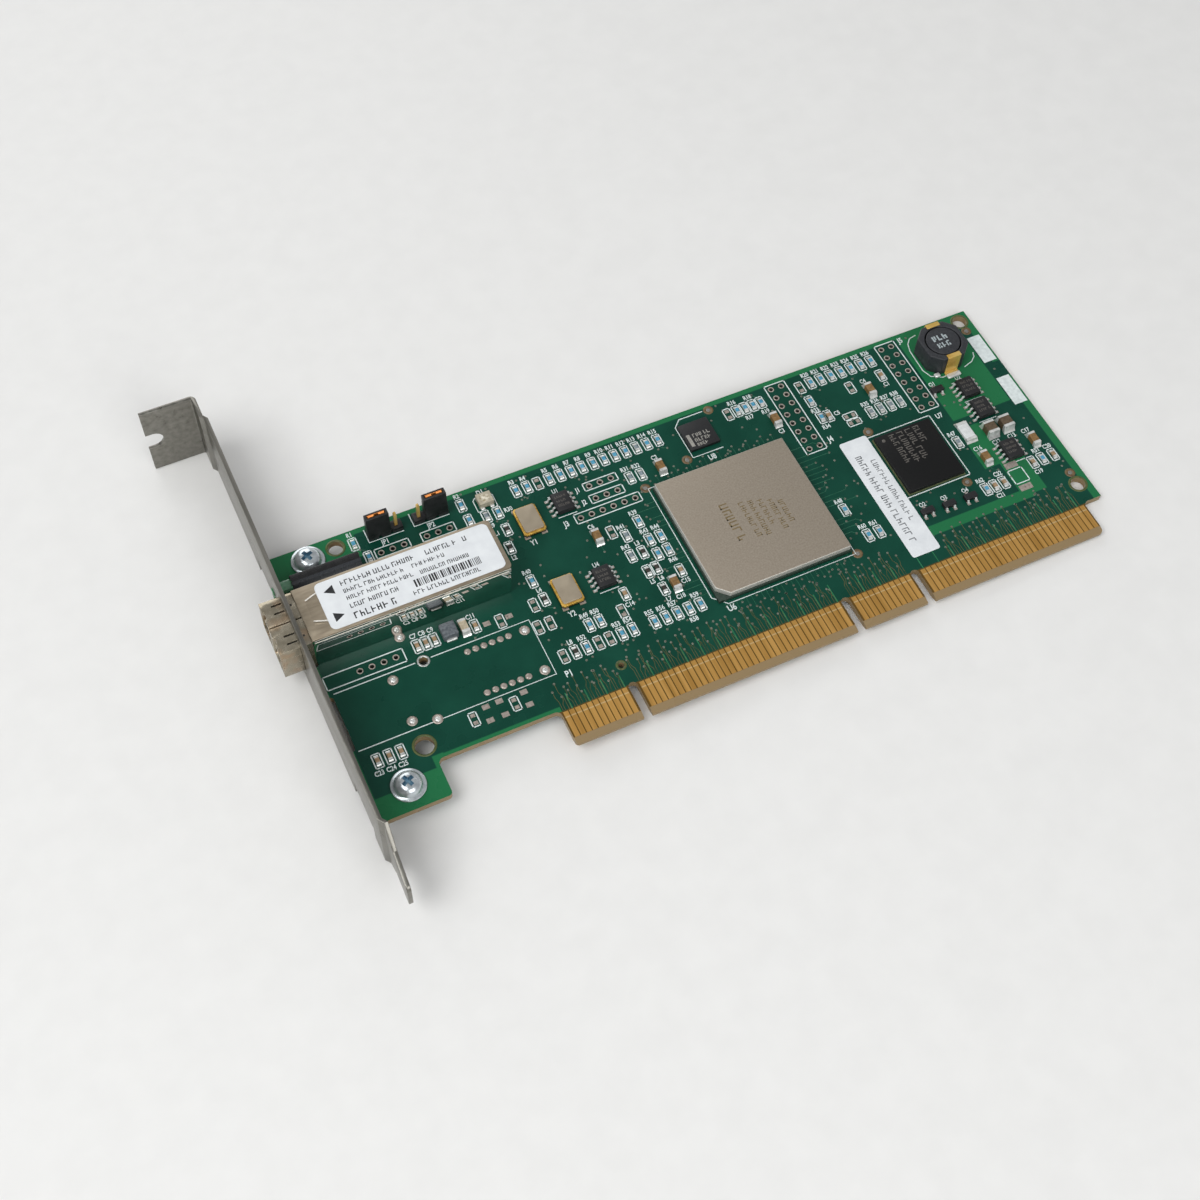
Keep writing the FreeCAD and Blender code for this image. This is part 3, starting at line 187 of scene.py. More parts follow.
look_right = Vector((0.905740, -0.422921, 0.027786))
look_ahead = Vector((0.243294, 0.465125, -0.851156))
look_up = look_right.cross(look_ahead)
camera_data = bpy.data.cameras.new("camera")
camera_data.sensor_width = 36
camera_data.lens = 51.41
camera_data.clip_start = 0.01
camera = placed("camera", camera_data)
turn = Matrix((look_right, look_up, -look_ahead)).transposed().to_4x4()
camera.matrix_world = Matrix.Translation(at(-26.305, -134.558, 297.245)) @ turn
bpy.context.scene.camera = camera
bpy.context.scene.view_settings.view_transform = "Standard"

# Circuit board: glass-epoxy laminate under green solder mask, routed to its outline. The mask
# is dark over the inner copper planes and lighter where they end; the routed edges are bare.
board_finish = grown("solder_mask", "093c2f", "0f4637", 9, rough=(0.24, 0.34), bump=0.05)
board_tree = board_finish.node_tree
board_place = wire(board_tree, "ShaderNodeSeparateXYZ", {"Vector": where(board_tree)}).outputs


def past(axis, edge, soft):
    """One where the place is past the edge along an axis, fading over soft millimetres each way."""
    span = {"Value": board_place[axis], "From Min": edge - soft / 1000, "From Max": edge + soft / 1000}
    return wire(board_tree, "ShaderNodeMapRange", span, interpolation_type="SMOOTHSTEP")


def patch(x0, x1, y0, y1, soft=0.12):
    """One inside a rectangle of the card, in millimetres."""
    across = maths(board_tree, "MULTIPLY", past("X", at(x0, 0).x, soft), past("X", at(x1, 0).x, -soft))
    along = maths(board_tree, "MULTIPLY", past("Y", at(0, y0).y, soft), past("Y", at(0, y1).y, -soft))
    return maths(board_tree, "MULTIPLY", across, along)


def tint(finish, share, code):
    """Turns a finish to another colour by a share."""
    base = skin(finish).inputs["Base Color"].links[0].from_socket
    mix = {"Fac": share, "Color1": base, "Color2": tone(code)}
    skin(finish, {"Base Color": wire(finish.node_tree, "ShaderNodeMixRGB", mix)})


def facing_up(tree):
    """How far a face looks up: one for the top, minus one for the bottom."""
    normal = wire(tree, "ShaderNodeNewGeometry").outputs["True Normal"]
    return wire(tree, "ShaderNodeSeparateXYZ", {"Vector": normal}).outputs["Z"]


light_mask = patch(-1, 0.9, -1, 66)
for corners in ((165.9, 169, -1, 44.4), (165.9, 169, 48.8, 66), (-1, 169, 63.2, 66), (15, 41, 6, 8.8),
                (-1, 11.5, -1, 5), (11.2, 16.5, -1, 6.4), (14.1, 16.5, -1, 9), (129, 155, 13.7, 16.1),
                (149, 163.7, 38, 64), (148.5, 154, 24, 35.5), (152.2, 158.2, 14.5, 24.5),
                (-1, 18.6, 57.5, 66)):
    light_mask = maths(board_tree, "MAXIMUM", light_mask, patch(*corners))
routed = maths(board_tree, "LESS_THAN", maths(board_tree, "ABSOLUTE", facing_up(board_tree)), 0.985)
for share, code in ((light_mask, "216c43"), (patch(39, 169, -1, 7.65), "5e471f"), (routed, "8d7959")):
    tint(board_finish, share, code)
skin(board_finish, {"Specular IOR Level": 0.18})


def paint(node, finish):
    """Gives a carried-over piece its finish."""
    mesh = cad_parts[node].data
    mesh.materials.clear()
    mesh.materials.append(finish)


paint("circuit_board", board_finish)

# Plated holes and vias: drilled through the card and plated, with a tinned ring on each face,
# bare rims round the screw holes and bare rings with a dot for the placing machine to aim at.
# A tree sweeps a flat section round every place.
tin_finish = grown("bright_tin", "a3a5a3", "cfd1ce", 0.5, rough=(0.22, 0.42), metallic=0.6, bump=0.15)
pad_finish = grown("dull_pad_tin", "988e85", "b8aea5", 0.5, rough=(0.25, 0.4), metallic=0.4, bump=0.1)
via_finish = grown("via_copper", "5a5d50", "82857a", 0.4, rough=(0.35, 0.5), metallic=0.4)
rim_finish = grown("bare_rim", "3d4a22", "59602f", 1.0, rough=(0.35, 0.5))
barrel_shade = grown("hole_barrel", "23251f", "35382f", 0.5)
aim_finish = grown("bare_laminate", "5a4630", "75603f", 0.8)
dot_finish = grown("dull_tin", "6d6c67", "86857f", 0.5)


def new_tree(name, **sockets):
    """An empty node tree with named inputs and one mesh output; returns it with its inputs."""
    tree = bpy.data.node_groups.new(name, "GeometryNodeTree")
    tree.interface.new_socket("Mesh", in_out="OUTPUT", socket_type="NodeSocketGeometry")
    for title, kind in sockets.items():
        tree.interface.new_socket(title, in_out="INPUT", socket_type="NodeSocket" + kind)
    return tree, wire(tree, "NodeGroupInput").outputs


def spread(tree, points, shape, **more):
    return wire(tree, "GeometryNodeInstanceOnPoints", {"Points": points, "Instance": shape, **more})


def end_tree(tree, given, shape):
    """Ends a tree: the shape is made real and given its finish."""
    real = wire(tree, "GeometryNodeRealizeInstances", {"Geometry": shape})
    coat = wire(tree, "GeometryNodeSetMaterial", {"Geometry": real, "Material": given["Finish"]})
    wire(tree, "NodeGroupOutput", {"Mesh": coat})


def plain(holder):
    """The mesh of an object as its modifiers leave it; the object goes."""
    bpy.context.view_layer.update()
    mesh = bpy.data.meshes.new_from_object(holder.evaluated_get(bpy.context.evaluated_depsgraph_get()))
    holder.modifiers.clear()
    bpy.data.objects.remove(holder)
    return mesh


def grow_mesh(tree, points, values, edges=(), turns=()):
    """Runs a tree on points, with edges between them or a turn at each, and returns the plain mesh."""
    start = bpy.data.meshes.new("places")
    start.from_pydata(points, edges, [])
    if turns:
        layer = start.attributes.new("turn", "FLOAT_VECTOR", "POINT")
        for i, angle in enumerate(turns):
            layer.data[i].vector = (0, 0, angle)
    holder = placed("places", start)
    modifier = holder.modifiers.new("grow", "NODES")
    modifier.node_group = tree
    for item in tree.interface.items_tree:
        if item.in_out == "INPUT" and item.name in values:
            modifier[item.identifier] = values[item.name]
    return plain(holder)


ring_tree, ring_in = new_tree("plated_ring", Places="Geometry", Radius="Float", Hole="Float", Height="Float",
                              Sides="Int", Finish="Material")
ring_sum = maths(ring_tree, "ADD", ring_in["Radius"], ring_in["Hole"])
ring_path = wire(ring_tree, "GeometryNodeCurvePrimitiveCircle",
                 {"Radius": maths(ring_tree, "MULTIPLY", ring_sum, 0.5), "Resolution": ring_in["Sides"]})
ring_wide = maths(ring_tree, "SUBTRACT", ring_in["Radius"], ring_in["Hole"])
ring_section = wire(ring_tree, "GeometryNodeCurvePrimitiveQuadrilateral",
                    {"Width": ring_wide, "Height": ring_in["Height"]})
ring_sweep = wire(ring_tree, "GeometryNodeCurveToMesh", {"Curve": ring_path, "Profile Curve": ring_section})
end_tree(ring_tree, ring_in, spread(ring_tree, ring_in["Places"], ring_sweep))


def rings(places, radius, hole, height, z, finish, sides=14):
    """Flat rings in millimetres, their middle height at z."""
    values = {"Radius": radius / 1000, "Hole": hole / 1000, "Height": height / 1000, "Sides": sides,
              "Finish": finish}
    return grow_mesh(ring_tree, [at(x, y, z) for x, y in places], values)


def islands(node):
    """Low and high corners, in card millimetres, of each separate solid in a node."""
    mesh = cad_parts[node].data
    keys = [tuple(round(c * 1e6) for c in v.co) for v in mesh.vertices]
    root = {key: key for key in keys}

    def top(key):
        while root[key] != key:
            root[key] = root[root[key]]
            key = root[key]
        return key

    for face in mesh.polygons:
        first = top(keys[face.vertices[0]])
        for other in face.vertices[1:]:
            root[top(keys[other])] = first
    groups = {}
    for key in root:
        groups.setdefault(top(key), []).append(key)
    shift = at(0, 0) * 1000
    found = []
    for group in groups.values():
        low = Vector(min(k[i] for k in group) / 1000 for i in range(3)) - shift
        high = Vector(max(k[i] for k in group) / 1000 for i in range(3)) - shift
        found.append((low, high))
    return sorted(found, key=lambda pair: (round(pair[0].y, 2), pair[0].x))


def middles(node):
    return [(low + high) / 2 for low, high in islands(node)]


def show(name, mesh, nodes=(), finish=None, smooth=False):
    """Adds a piece that rides on the card and stands for the named nodes."""
    mesh.name = name
    if finish:
        mesh.materials.clear()
        mesh.materials.append(finish)
    if smooth:
        mesh.shade_smooth()
    thing = placed(name, mesh)
    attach(thing, "root")
    if nodes:
        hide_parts(*nodes)


def as_mesh(work):
    mesh = bpy.data.meshes.new("part")
    work.to_mesh(mesh)
    return mesh


def joined(meshes):
    """Several meshes made one."""
    whole = bmesh.new()
    for mesh in meshes:
        whole.from_mesh(mesh)
    made = as_mesh(whole)
    for slot in meshes[0].materials:
        made.materials.append(slot)
    return made


header_pitch = 2.54
open_holes = []
for x, y, count in ((68.58, 54.61, 3), (68.58, 51.18, 3), (63.55, 47.85, 6), (8.28, 32.28, 4),
                    (22.26, 56.71, 3), (32.42, 56.71, 3)):
    open_holes += [(x + i * header_pitch, y) for i in range(count)]
for x in (116.33, 144.53):
    open_holes += [(x + i * header_pitch, 61.97 - j * header_pitch) for i in range(2) for j in range(8)]
filled_holes = [(p.x, p.y) for p in middles("header_pins")]
tail_holes = [(p.x, p.y) for p in middles("transceiver_pins")]
under = -1.57
show("plated_holes", rings(open_holes + filled_holes, 0.70, 0.46, 0.05, 0.0, pad_finish))
show("holes_under", rings(open_holes + filled_holes + tail_holes, 0.80, 0.34, 0.05, under, tin_finish))
show("hole_barrels", rings(open_holes, 0.50, 0.44, 1.6, under / 2, barrel_shade))
bare_holes = [(13.74, 11.81, 1.95), (14.05, 61.56, 1.6), (164.85, 12.6, 1.6), (165.1, 61.97, 1.6),
              (56.08, 12.34, 0.65)]
rims = [rings([(x, y)], r + 0.5, r + 0.02, 0.03, z, rim_finish, sides=28)
        for x, y, r in bare_holes for z in (0.0, under)]
show("hole_rims", joined(rims))
aim_places = [(101.0, 62.5), (90.75, 52.3), (79.3, 49.2), (130.3, 43.0), (143.15, 22.7), (164.9, 15.8),
              (112.5, 16.3), (165.1, 59.0)]
show("aim_rings", rings(aim_places, 1.15, 0.5, 0.02, 0.004, aim_finish, sides=20))
show("aim_dots", rings(aim_places, 0.5, 0.01, 0.04, 0.008, dot_finish))
show("guide_ring", rings([(20.57, 29.28)], 1.35, 0.92, 0.06, 0.0, tin_finish, sides=24))

# Copper traces: thin masked copper, seen as low ridges in the green. Runs leave every contact
# for a via above it, bundles leave the controller for the connector and the memory, and the
# runs on the back join one via to another.
trace_finish = grown("masked_copper", "124f3a", "185b44", 2.0, rough=(0.22, 0.34))
wide_finish = grown("masked_wide_copper", "1f6a45", "2b8054", 2.0, rough=(0.22, 0.34))
thin_finish = grown("masked_thin_copper", "3b4a2a", "5a5634", 2.0, rough=(0.22, 0.34))
trace_tree, trace_in = new_tree("masked_trace", Paths="Geometry", Width="Float", Lift="Float",
                                Finish="Material")
trace_curve = wire(trace_tree, "GeometryNodeMeshToCurve", {"Mesh": trace_in["Paths"]})
trace_round = wire(trace_tree, "GeometryNodeCurvePrimitiveCircle",
                   {"Resolution": 6, "Radius": maths(trace_tree, "MULTIPLY", trace_in["Width"], 0.5)})
trace_sweep = wire(trace_tree, "GeometryNodeCurveToMesh",
                   {"Curve": trace_curve, "Profile Curve": trace_round, "Fill Caps": True})
trace_press = wire(trace_tree, "GeometryNodeTransform", {"Geometry": trace_sweep, "Scale": (1, 1, 0.3)})
trace_up = wire(trace_tree, "ShaderNodeCombineXYZ", {"Z": trace_in["Lift"]})
end_tree(trace_tree, trace_in,
         wire(trace_tree, "GeometryNodeTransform", {"Geometry": trace_press, "Translation": trace_up}))


def traces(paths, width, z, finish):
    """A mesh of traces along the paths, each a list of (x, y) in card millimetres."""
    points = []
    edges = []
    for path in paths:
        edges += [(len(points) + i, len(points) + i + 1) for i in range(len(path) - 1)]
        points += [at(x, y) - Vector((0, 0, card_high.z)) for x, y in path]
    values = {"Width": width / 1000, "Lift": at(0, 0, z).z, "Finish": finish}
    return grow_mesh(trace_tree, points, values, edges)


chip_nodes = ("blue_resistors", "grey_resistors", "dark_beads", "small_capacitors")
white_blocks = [(164.0, 167.2, 49.3, 57.0), (164.0, 167.2, 36.4, 44.4)]
part_gap = 0.3
busy = [(x0 - part_gap, x1 + part_gap, y0 - part_gap, y1 + part_gap) for x0, x1, y0, y1 in white_blocks]
for node in chip_nodes + (
        "large_capacitors", "wide_capacitors", "pale_capacitor", "capacitor_caps", "sense_resistor",
        "filter_coil", "memory_chip", "clock_chip", "controller_substrate", "oscillator_bases",
        "small_chip_bodies", "small_chip_leads", "transistor_bodies", "transistor_leads", "header_bases",
        "surface_light_base", "inductor_ring", "inductor_terminals", "stock_label", "transceiver_cover",
        "light_guide_holder", "bracket_screws"):
    busy += [(low.x - part_gap, high.x + part_gap, low.y - part_gap, high.y + part_gap)
             for low, high in islands(node)]
kept_clear = [(x, y, 0.95) for x, y in open_holes]
kept_clear += [(13.74, 11.81, 2.6), (14.05, 61.56, 2.3), (164.85, 12.6, 2.3), (165.1, 61.97, 2.3),
               (20.57, 29.28, 1.3), (56.08, 12.34, 1.0)]
busy += [(x - r, x + r, y - r, y + r) for x, y, r in kept_clear]
free_left, free_right, free_low, free_high = 0.5, 167.1, 8.6, 64.0


def is_free(x0, x1, y0, y1):
    """True where nothing stands on this patch of the card."""
    if x0 < free_left or x1 > free_right or y0 < free_low or y1 > free_high:
        return False
    return all(x1 < a or x0 > b or y1 < c or y0 > d for a, b, c, d in busy)


def is_clear(x, y, r=0.3):
    return is_free(x - r, x + r, y - r, y + r)


chance = random.Random(11)
contact_middles = [p.x for p in middles("edge_contacts_front")]
trace_paths = []
thin_paths = []
wide_paths = []
via_places = []


def run_to_via(paths, *path):
    """Adds a trace with a via at its end."""
    paths.append(path)
    via_places.append(path[-1])


contact_end, bend_low = 7.5, 8.4
for i, x in enumerate(contact_middles):
    for start, rises in ((0.22, (10.2, 12.6, 11.3, 13.6)), (-0.28, (11.8, 13.9, 10.7, 13.0))):
        rise = rises[i % 4] + chance.choice((0, 0, 0.25, 0.5))
        side = start + chance.choice((-0.5, -0.3, 0.3, 0.5))
        if is_clear(x + side, rise):
            bend = bend_low + 0.55 * (rise - bend_low)
            run_to_via(thin_paths, (x + start, contact_end), (x + start, bend - 0.7), (x + side, bend + 0.3),
                       (x + side, rise))
    if i % 3 == 1 and is_free(x - 0.4, x + 0.4, 9.0, 9.6):
        wide_paths.append([(x + 0.35, contact_end), (x + 0.35, chance.choice((10.4, 11.2, 12.1)))])
for node in chip_nodes + ("large_capacitors", "capacitor_caps"):
    for place in middles(node):
        for way in (-1, 1):
            x = place.x + chance.choice((-1.3, 0, 1.3)) * 0.8
            y = place.y + way * (2.1 + 0.7 * chance.random())
            if chance.random() < 0.4 and is_clear(x, y):
                run_to_via(trace_paths, (place.x, place.y + way * 0.9), (place.x, y - way * 0.6), (x, y))
controller_low, controller_high = islands("controller_substrate")[0]
for i in range(26):
    x = controller_low.x + 1.2 + i * 1.15
    for edge, way in ((controller_low.y, -1), (controller_high.y, 1)):
        y = edge + way * (1.2 + 0.9 * (i % 3) + chance.random())
        if is_clear(x, y):
            run_to_via(trace_paths, (x, edge), (x, y))
for i in range(22):
    y = controller_low.y + 2 + i * 1.25
    end = controller_high.x + 3 + 6 * chance.random()
    if is_free(controller_high.x + 0.5, end, y - 0.2, y + 0.2):
        end_y = y + 0.8 * chance.choice((-1, 0, 1))
        run_to_via(trace_paths, (controller_high.x, y), (end - 0.8, y), (end, end_y))
    start = controller_low.x - 2 - 5 * chance.random()
    if is_free(start, controller_low.x - 0.5, y - 0.2, y + 0.2):
        run_to_via(trace_paths, (controller_low.x, y), (start, y))
for i in range(280):
    x = 44 + 122 * chance.random()
    y = 13 + 50 * chance.random()
    if is_clear(x, y, 0.5):
        via_places.append((x, y))
show("front_traces", traces(trace_paths, 0.2, 0.0, trace_finish))
show("wide_traces", traces(wide_paths, 0.24, 0.0, wide_finish))
show("thin_traces", traces(thin_paths, 0.15, 0.0, thin_finish))
show("front_vias", rings(via_places, 0.27, 0.06, 0.04, 0.005, via_finish, sides=8))
back_paths = []
for i, (x, y) in enumerate(via_places):
    near = [(u, v) for u, v in via_places[i + 1:] if 3 < abs(u - x) < 26 and abs(v - y) < 6]
    if near and i % 2:
        u, v = near[chance.randrange(len(near))]
        step = abs(v - y)
        way = 1 if u > x else -1
        back_paths.append([(x, y), (u - way * step, y), (u, v)])
show("back_traces", traces(back_paths, 0.2, under, trace_finish))
show("back_vias", rings(via_places, 0.27, 0.06, 0.04, under - 0.005, via_finish, sides=8))

# Edge contacts: copper fingers with thin hard gold, on both faces of the connector's tongue.
# A tree lays out each run; a worn line crosses them where the slot's springs have wiped.
gold_finish = grown("contact_gold", "c19148", "dbaa5e", 1.1, rough=(0.28, 0.42), metallic=0.65,
                    stretch=(1, 0.05, 1))
gold_tree = gold_finish.node_tree


def place_along(tree, axis):
    """How far along an axis of the frame a point of a finish is."""
    return wire(tree, "ShaderNodeSeparateXYZ", {"Vector": where(tree)}).outputs[axis]


wiped_span = {"Value": place_along(gold_tree, "Y"), "From Min": at(0, 5.65).y, "From Max": at(0, 6.65).y}
unworn, worn = (0, 0, 0, 1), (0.9, 0.9, 0.9, 1)
wiped_stops = [(0.3, unworn), (0.5, worn), (0.7, unworn)]
tint(gold_finish, ramp(gold_tree, wire(gold_tree, "ShaderNodeMapRange", wiped_span), wiped_stops), "e8cf9a")

run_tree, run_in = new_tree("contact_run", Count="Int", Pitch="Vector", First="Vector", Size="Vector",
                            Finish="Material")
run_line = wire(run_tree, "GeometryNodeMeshLine",
                {"Count": run_in["Count"], "Offset": run_in["Pitch"], "Start Location": run_in["First"]})
run_bar = wire(run_tree, "GeometryNodeMeshCube", {"Size": run_in["Size"]})
end_tree(run_tree, run_in, spread(run_tree, run_line, run_bar))
contact_low, contact_high = islands("edge_contacts_front")[0]
contact_pitch = contact_middles[1] - contact_middles[0]
contact_wide, contact_thick = 1.03, 0.05
contact_runs = [[contact_middles[0]]]
for x in contact_middles[1:]:
    if x - contact_runs[-1][-1] > 1.5 * contact_pitch:
        contact_runs.append([])
    contact_runs[-1].append(x)
for side, z in (("front", contact_thick / 2), ("back", under - contact_thick / 2)):
    made = []
    for run in contact_runs:
        values = {
            "Count": len(run),
            "Pitch": (contact_pitch / 1000, 0, 0),
            "First": at(run[0], (contact_low.y + contact_high.y) / 2, z),
            "Size": (contact_wide / 1000, (contact_high.y - contact_low.y) / 1000, contact_thick / 1000),
            "Finish": gold_finish,
        }
        made.append(grow_mesh(run_tree, [(0, 0, 0)], values))
    show("contacts_" + side, joined(made), ["edge_contacts_" + side])

# Slot bracket: nickel-plated sheet steel, blanked and folded, its edges slightly broken. The
# sheet's rolling lines run along it and handling has left faint streaks.
nickel_finish = grown("nickel_sheet", "77756e", "8f8d86", 1.2, rough=(0.26, 0.40), metallic=1.0, bump=0.06,
                      stretch=(1, 0.06, 1))


def dressed(node, name, round_mm, finish, segments=2, angle=28, change=None):
    """Adds a merged copy of a node, changed where asked, with rounded edges, smooth where it curves."""
    work = bmesh.new()
    work.from_mesh(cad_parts[node].data)
    bmesh.ops.remove_doubles(work, verts=work.verts, dist=2e-6)
    bmesh.ops.dissolve_limit(work, angle_limit=math.radians(1), verts=work.verts, edges=work.edges)
    if change:
        change(work)
    holder = placed("edges", as_mesh(work))
    bevel = holder.modifiers.new("edge", "BEVEL")
    bevel.width = round_mm / 1000
    bevel.segments = segments
    bevel.limit_method = "ANGLE"
    bevel.angle_limit = math.radians(angle)
    made = plain(holder)
    made.shade_smooth()
    made.set_sharp_from_angle(angle=math.radians(32))
    show(name, made, [node], finish)


dressed("bracket", "slot_bracket", 0.10, nickel_finish)

# Bracket screws: zinc-plated, cold headed with a washer flange, a domed head and a cross
# recess; they go through the card into the bracket's lugs.
zinc_finish = grown("bright_zinc", "b9c1c5", "d9e0e3", 1.0, rough=(0.16, 0.28), metallic=0.7, bump=0.02)
recess_finish = grown("driven_recess", "5d8399", "8db3c6", 0.6, rough=(0.25, 0.4), metallic=0.6)


def lathe(profile, sides):
    """A turned shape in millimetres from (radius, z) steps, closed on its axis at both ends."""
    work = bmesh.new()
    angles = [2 * math.pi * i / sides for i in range(sides)]
    turns = []
    for radius, z in profile:
        ring = [(radius * math.cos(a), radius * math.sin(a), z) for a in angles] if radius else [(0, 0, z)]
        turns.append([work.verts.new(point) for point in ring])
    for low, high in zip(turns, turns[1:]):
        for i in range(sides):
            j = (i + 1) % sides
            if len(low) == 1:
                work.faces.new((low[0], high[j], high[i]))
            elif len(high) == 1:
                work.faces.new((low[i], low[j], high[0]))
            else:
                work.faces.new((low[i], low[j], high[j], high[i]))
    bmesh.ops.recalc_face_normals(work, faces=work.faces)
    return as_mesh(work)


screw_top = 2.4
screw_profile = [(0, -3.6), (1.0, -3.6), (1.42, -3.2), (1.42, 0), (3.4, 0), (3.55, 0.12), (3.55, 0.36),
                 (3.44, 0.5), (3.1, 0.58), (2.92, 0.66), (2.82, 0.85), (2.7, 1.2), (2.45, 1.6), (2.05, 1.96),
                 (1.5, 2.22), (0.8, 2.36), (0, screw_top)]
screw_body = lathe(screw_profile, 40)
cross = bmesh.new()
for angle in (25, 115):
    bar = bmesh.ops.create_cube(cross, size=1.0)["verts"]
    for vertex in bar:
        narrowing = 0.6 if vertex.co.z < 0 else 1.0
        vertex.co.x *= 3.3 * narrowing
        vertex.co.y *= 1.05 * narrowing
        vertex.co.z *= 2.2
    bmesh.ops.rotate(cross, verts=bar, matrix=Matrix.Rotation(math.radians(angle), 3, "Z"))
bmesh.ops.translate(cross, verts=cross.verts, vec=(0, 0, screw_top))
recess = as_mesh(cross)
screw_body.materials.append(zinc_finish)
recess.materials.append(recess_finish)
screw_holder, recess_holder = placed("screw", screw_body), placed("recess", recess)
cut = screw_holder.modifiers.new("cut", "BOOLEAN")
cut.operation = "DIFFERENCE"
cut.object = recess_holder
cut.solver = "EXACT"
cut.use_self = True
cut.material_mode = "TRANSFER"
screw_part = plain(screw_holder)
bpy.data.objects.remove(recess_holder)
screws = []
for place in middles("bracket_screws"):
    copy = screw_part.copy()
    copy.transform(Matrix.Translation(at(place.x, place.y, 0)) @ Matrix.Scale(0.001, 4))
    screws.append(copy)
screw_mesh = joined(screws)
screw_mesh.shade_smooth()
screw_mesh.set_sharp_from_angle(angle=math.radians(30))
show("washer_screws", screw_mesh, ["bracket_screws"])

# Optical transceiver: a drawn sheet-metal cover and a bright case over the optics, and a cast
# duplex receptacle that goes out through the bracket's window, with springs that latch the
# plugs; the dark slits that free them are thin black plates of painted shade. Thin bright strips
# along the cover's seams with the case and on its two raised ribs are painted highlights.
case_finish = grown("bright_case", "dededa", "e8e8e4", 6, rough=(0.012, 0.03), metallic=1.0)
top_metal = 0.6
cover_finish = grown("satin_cover", "918572", "a49884", 0.7, rough=(0.30, 0.42), metallic=top_metal,
                     bump=0.08, stretch=(0.2, 1, 1))
nose_finish = grown("cast_nose", "9a927f", "aea694", 1.6, rough=(0.20, 0.30), metallic=0.8)
barrel_finish = grown("turned_barrel", "8d9092", "b2b5b7", 0.8, rough=(0.2, 0.35), metallic=1.0)
inner_finish = grown("inner_laminate", "0f3d28", "17503a", 2, rough=(0.35, 0.5))
black_finish = grown("moulded_black", "151617", "242526", 0.6, rough=(0.36, 0.5), bump=0.1)
# A near-white finish for thin strips that stand for highlights: painted highlights.
painted_highlight_finish = grown("painted_highlight", "d9d5ca", "efece4", 0.8, rough=(0.12, 0.22), metallic=0.3)


def short_of(finish, axis, edge, code):
    """Gives a finish another colour where the place is short of the edge; returns the share."""
    share = maths(finish.node_tree, "LESS_THAN", place_along(finish.node_tree, axis), edge)
    tint(finish, share, code)
    return share


cover_tree = cover_finish.node_tree
skirt = short_of(cover_finish, "Z", at(0, 0, 9.45).z, "e0e0dc")
top_gloss = cover_tree.nodes["Map Range"]
skirt_gloss = wire(cover_tree, "ShaderNodeMix", {"Factor": skirt, "A": top_gloss, "B": 0.03})
skirt_metal = wire(cover_tree, "ShaderNodeMix", {"Factor": skirt, "A": top_metal, "B": 1.0})
skin(cover_finish, {"Roughness": skirt_gloss, "Metallic": skirt_metal})
nose_tree = nose_finish.node_tree
stain = wire(nose_tree, "ShaderNodeTexNoise", {"Vector": where(nose_tree), "Scale": 330, "Detail": 1})
stain_span = {"Value": stain, "From Min": 0.52, "From Max": 0.70, "To Max": 0.3}
tint(nose_finish, wire(nose_tree, "ShaderNodeMapRange", stain_span), "ad7a45")
dressed("transceiver_case", "transceiver_case_wall", 0.10, case_finish)
dressed("transceiver_cover", "transceiver_lid", 0.12, cover_finish)
dressed("transceiver_nose", "duplex_receptacle", 0.09, nose_finish)


def plates(name, boxes, finish):
    """Adds a piece of closed plates, each (x0, x1, y0, y1, z0, z1) in card millimetres."""
    points = []
    faces = []
    for x0, x1, y0, y1, z0, z1 in boxes:
        base = len(points)
        for z in (z0, z1):
            points += [at(x0, y0, z), at(x1, y0, z), at(x1, y1, z), at(x0, y1, z)]
        for ring in ((3, 2, 1, 0), (4, 5, 6, 7), (0, 1, 5, 4), (1, 2, 6, 5), (2, 3, 7, 6), (3, 0, 4, 7)):
            faces.append([base + i for i in ring])
    mesh = bpy.data.meshes.new(name)
    mesh.from_pydata(points, [], faces)
    show(name, mesh, finish=finish)


# Painted shade: thin black plates on the receptacle's top stand for the dark slits beside its latch springs.
slit_shade_plates = [(-3.45, -1.1, y - 0.5, y + 0.5, 8.42, 8.7) for y in (47.85, 45.95, 40.4, 38.6)]
slit_shade_plates += [(-0.02, 0.32, y - 0.22, y + 0.22, 9.2, 9.32) for y in (46.45, 38.9)]
plates("latch_springs", slit_shade_plates, black_finish)
# Painted highlights: bright strips on the two raised ribs and along the seams of cover and case.
rib_highlight_paths = [[(2.95, 45.8), (5.46, 46.65)], [(2.9, 40.75), (5.5, 39.8)]]
show("rib_tops", traces(rib_highlight_paths, 0.36, 9.94, painted_highlight_finish))
seam_highlights = [(1.5, 42.9, y, y + 0.10, z, z + 0.09) for y in (36.58, 49.22) for z in (9.34, 8.54)]
plates("case_seams", seam_highlights, painted_highlight_finish)
for node, finish in (("receiver_barrel", barrel_finish), ("transmitter_barrel", barrel_finish),
                     ("transceiver_board", inner_finish), ("transceiver_pins", gold_finish)):
    paint(node, finish)

# Transceiver label: white film on the lid, printed in black with a port arrow each way, rows
# of small marks and a bar pattern.
film_finish = grown("label_film", "d9dde0", "e4e8ea", 3, rough=(0.32, 0.45), bump=0.03)
ink_finish = grown("black_ink", "17181a", "26272a", 0.6)
dressed("transceiver_label", "lid_label", 0.03, film_finish, segments=1)
ink = 0.012


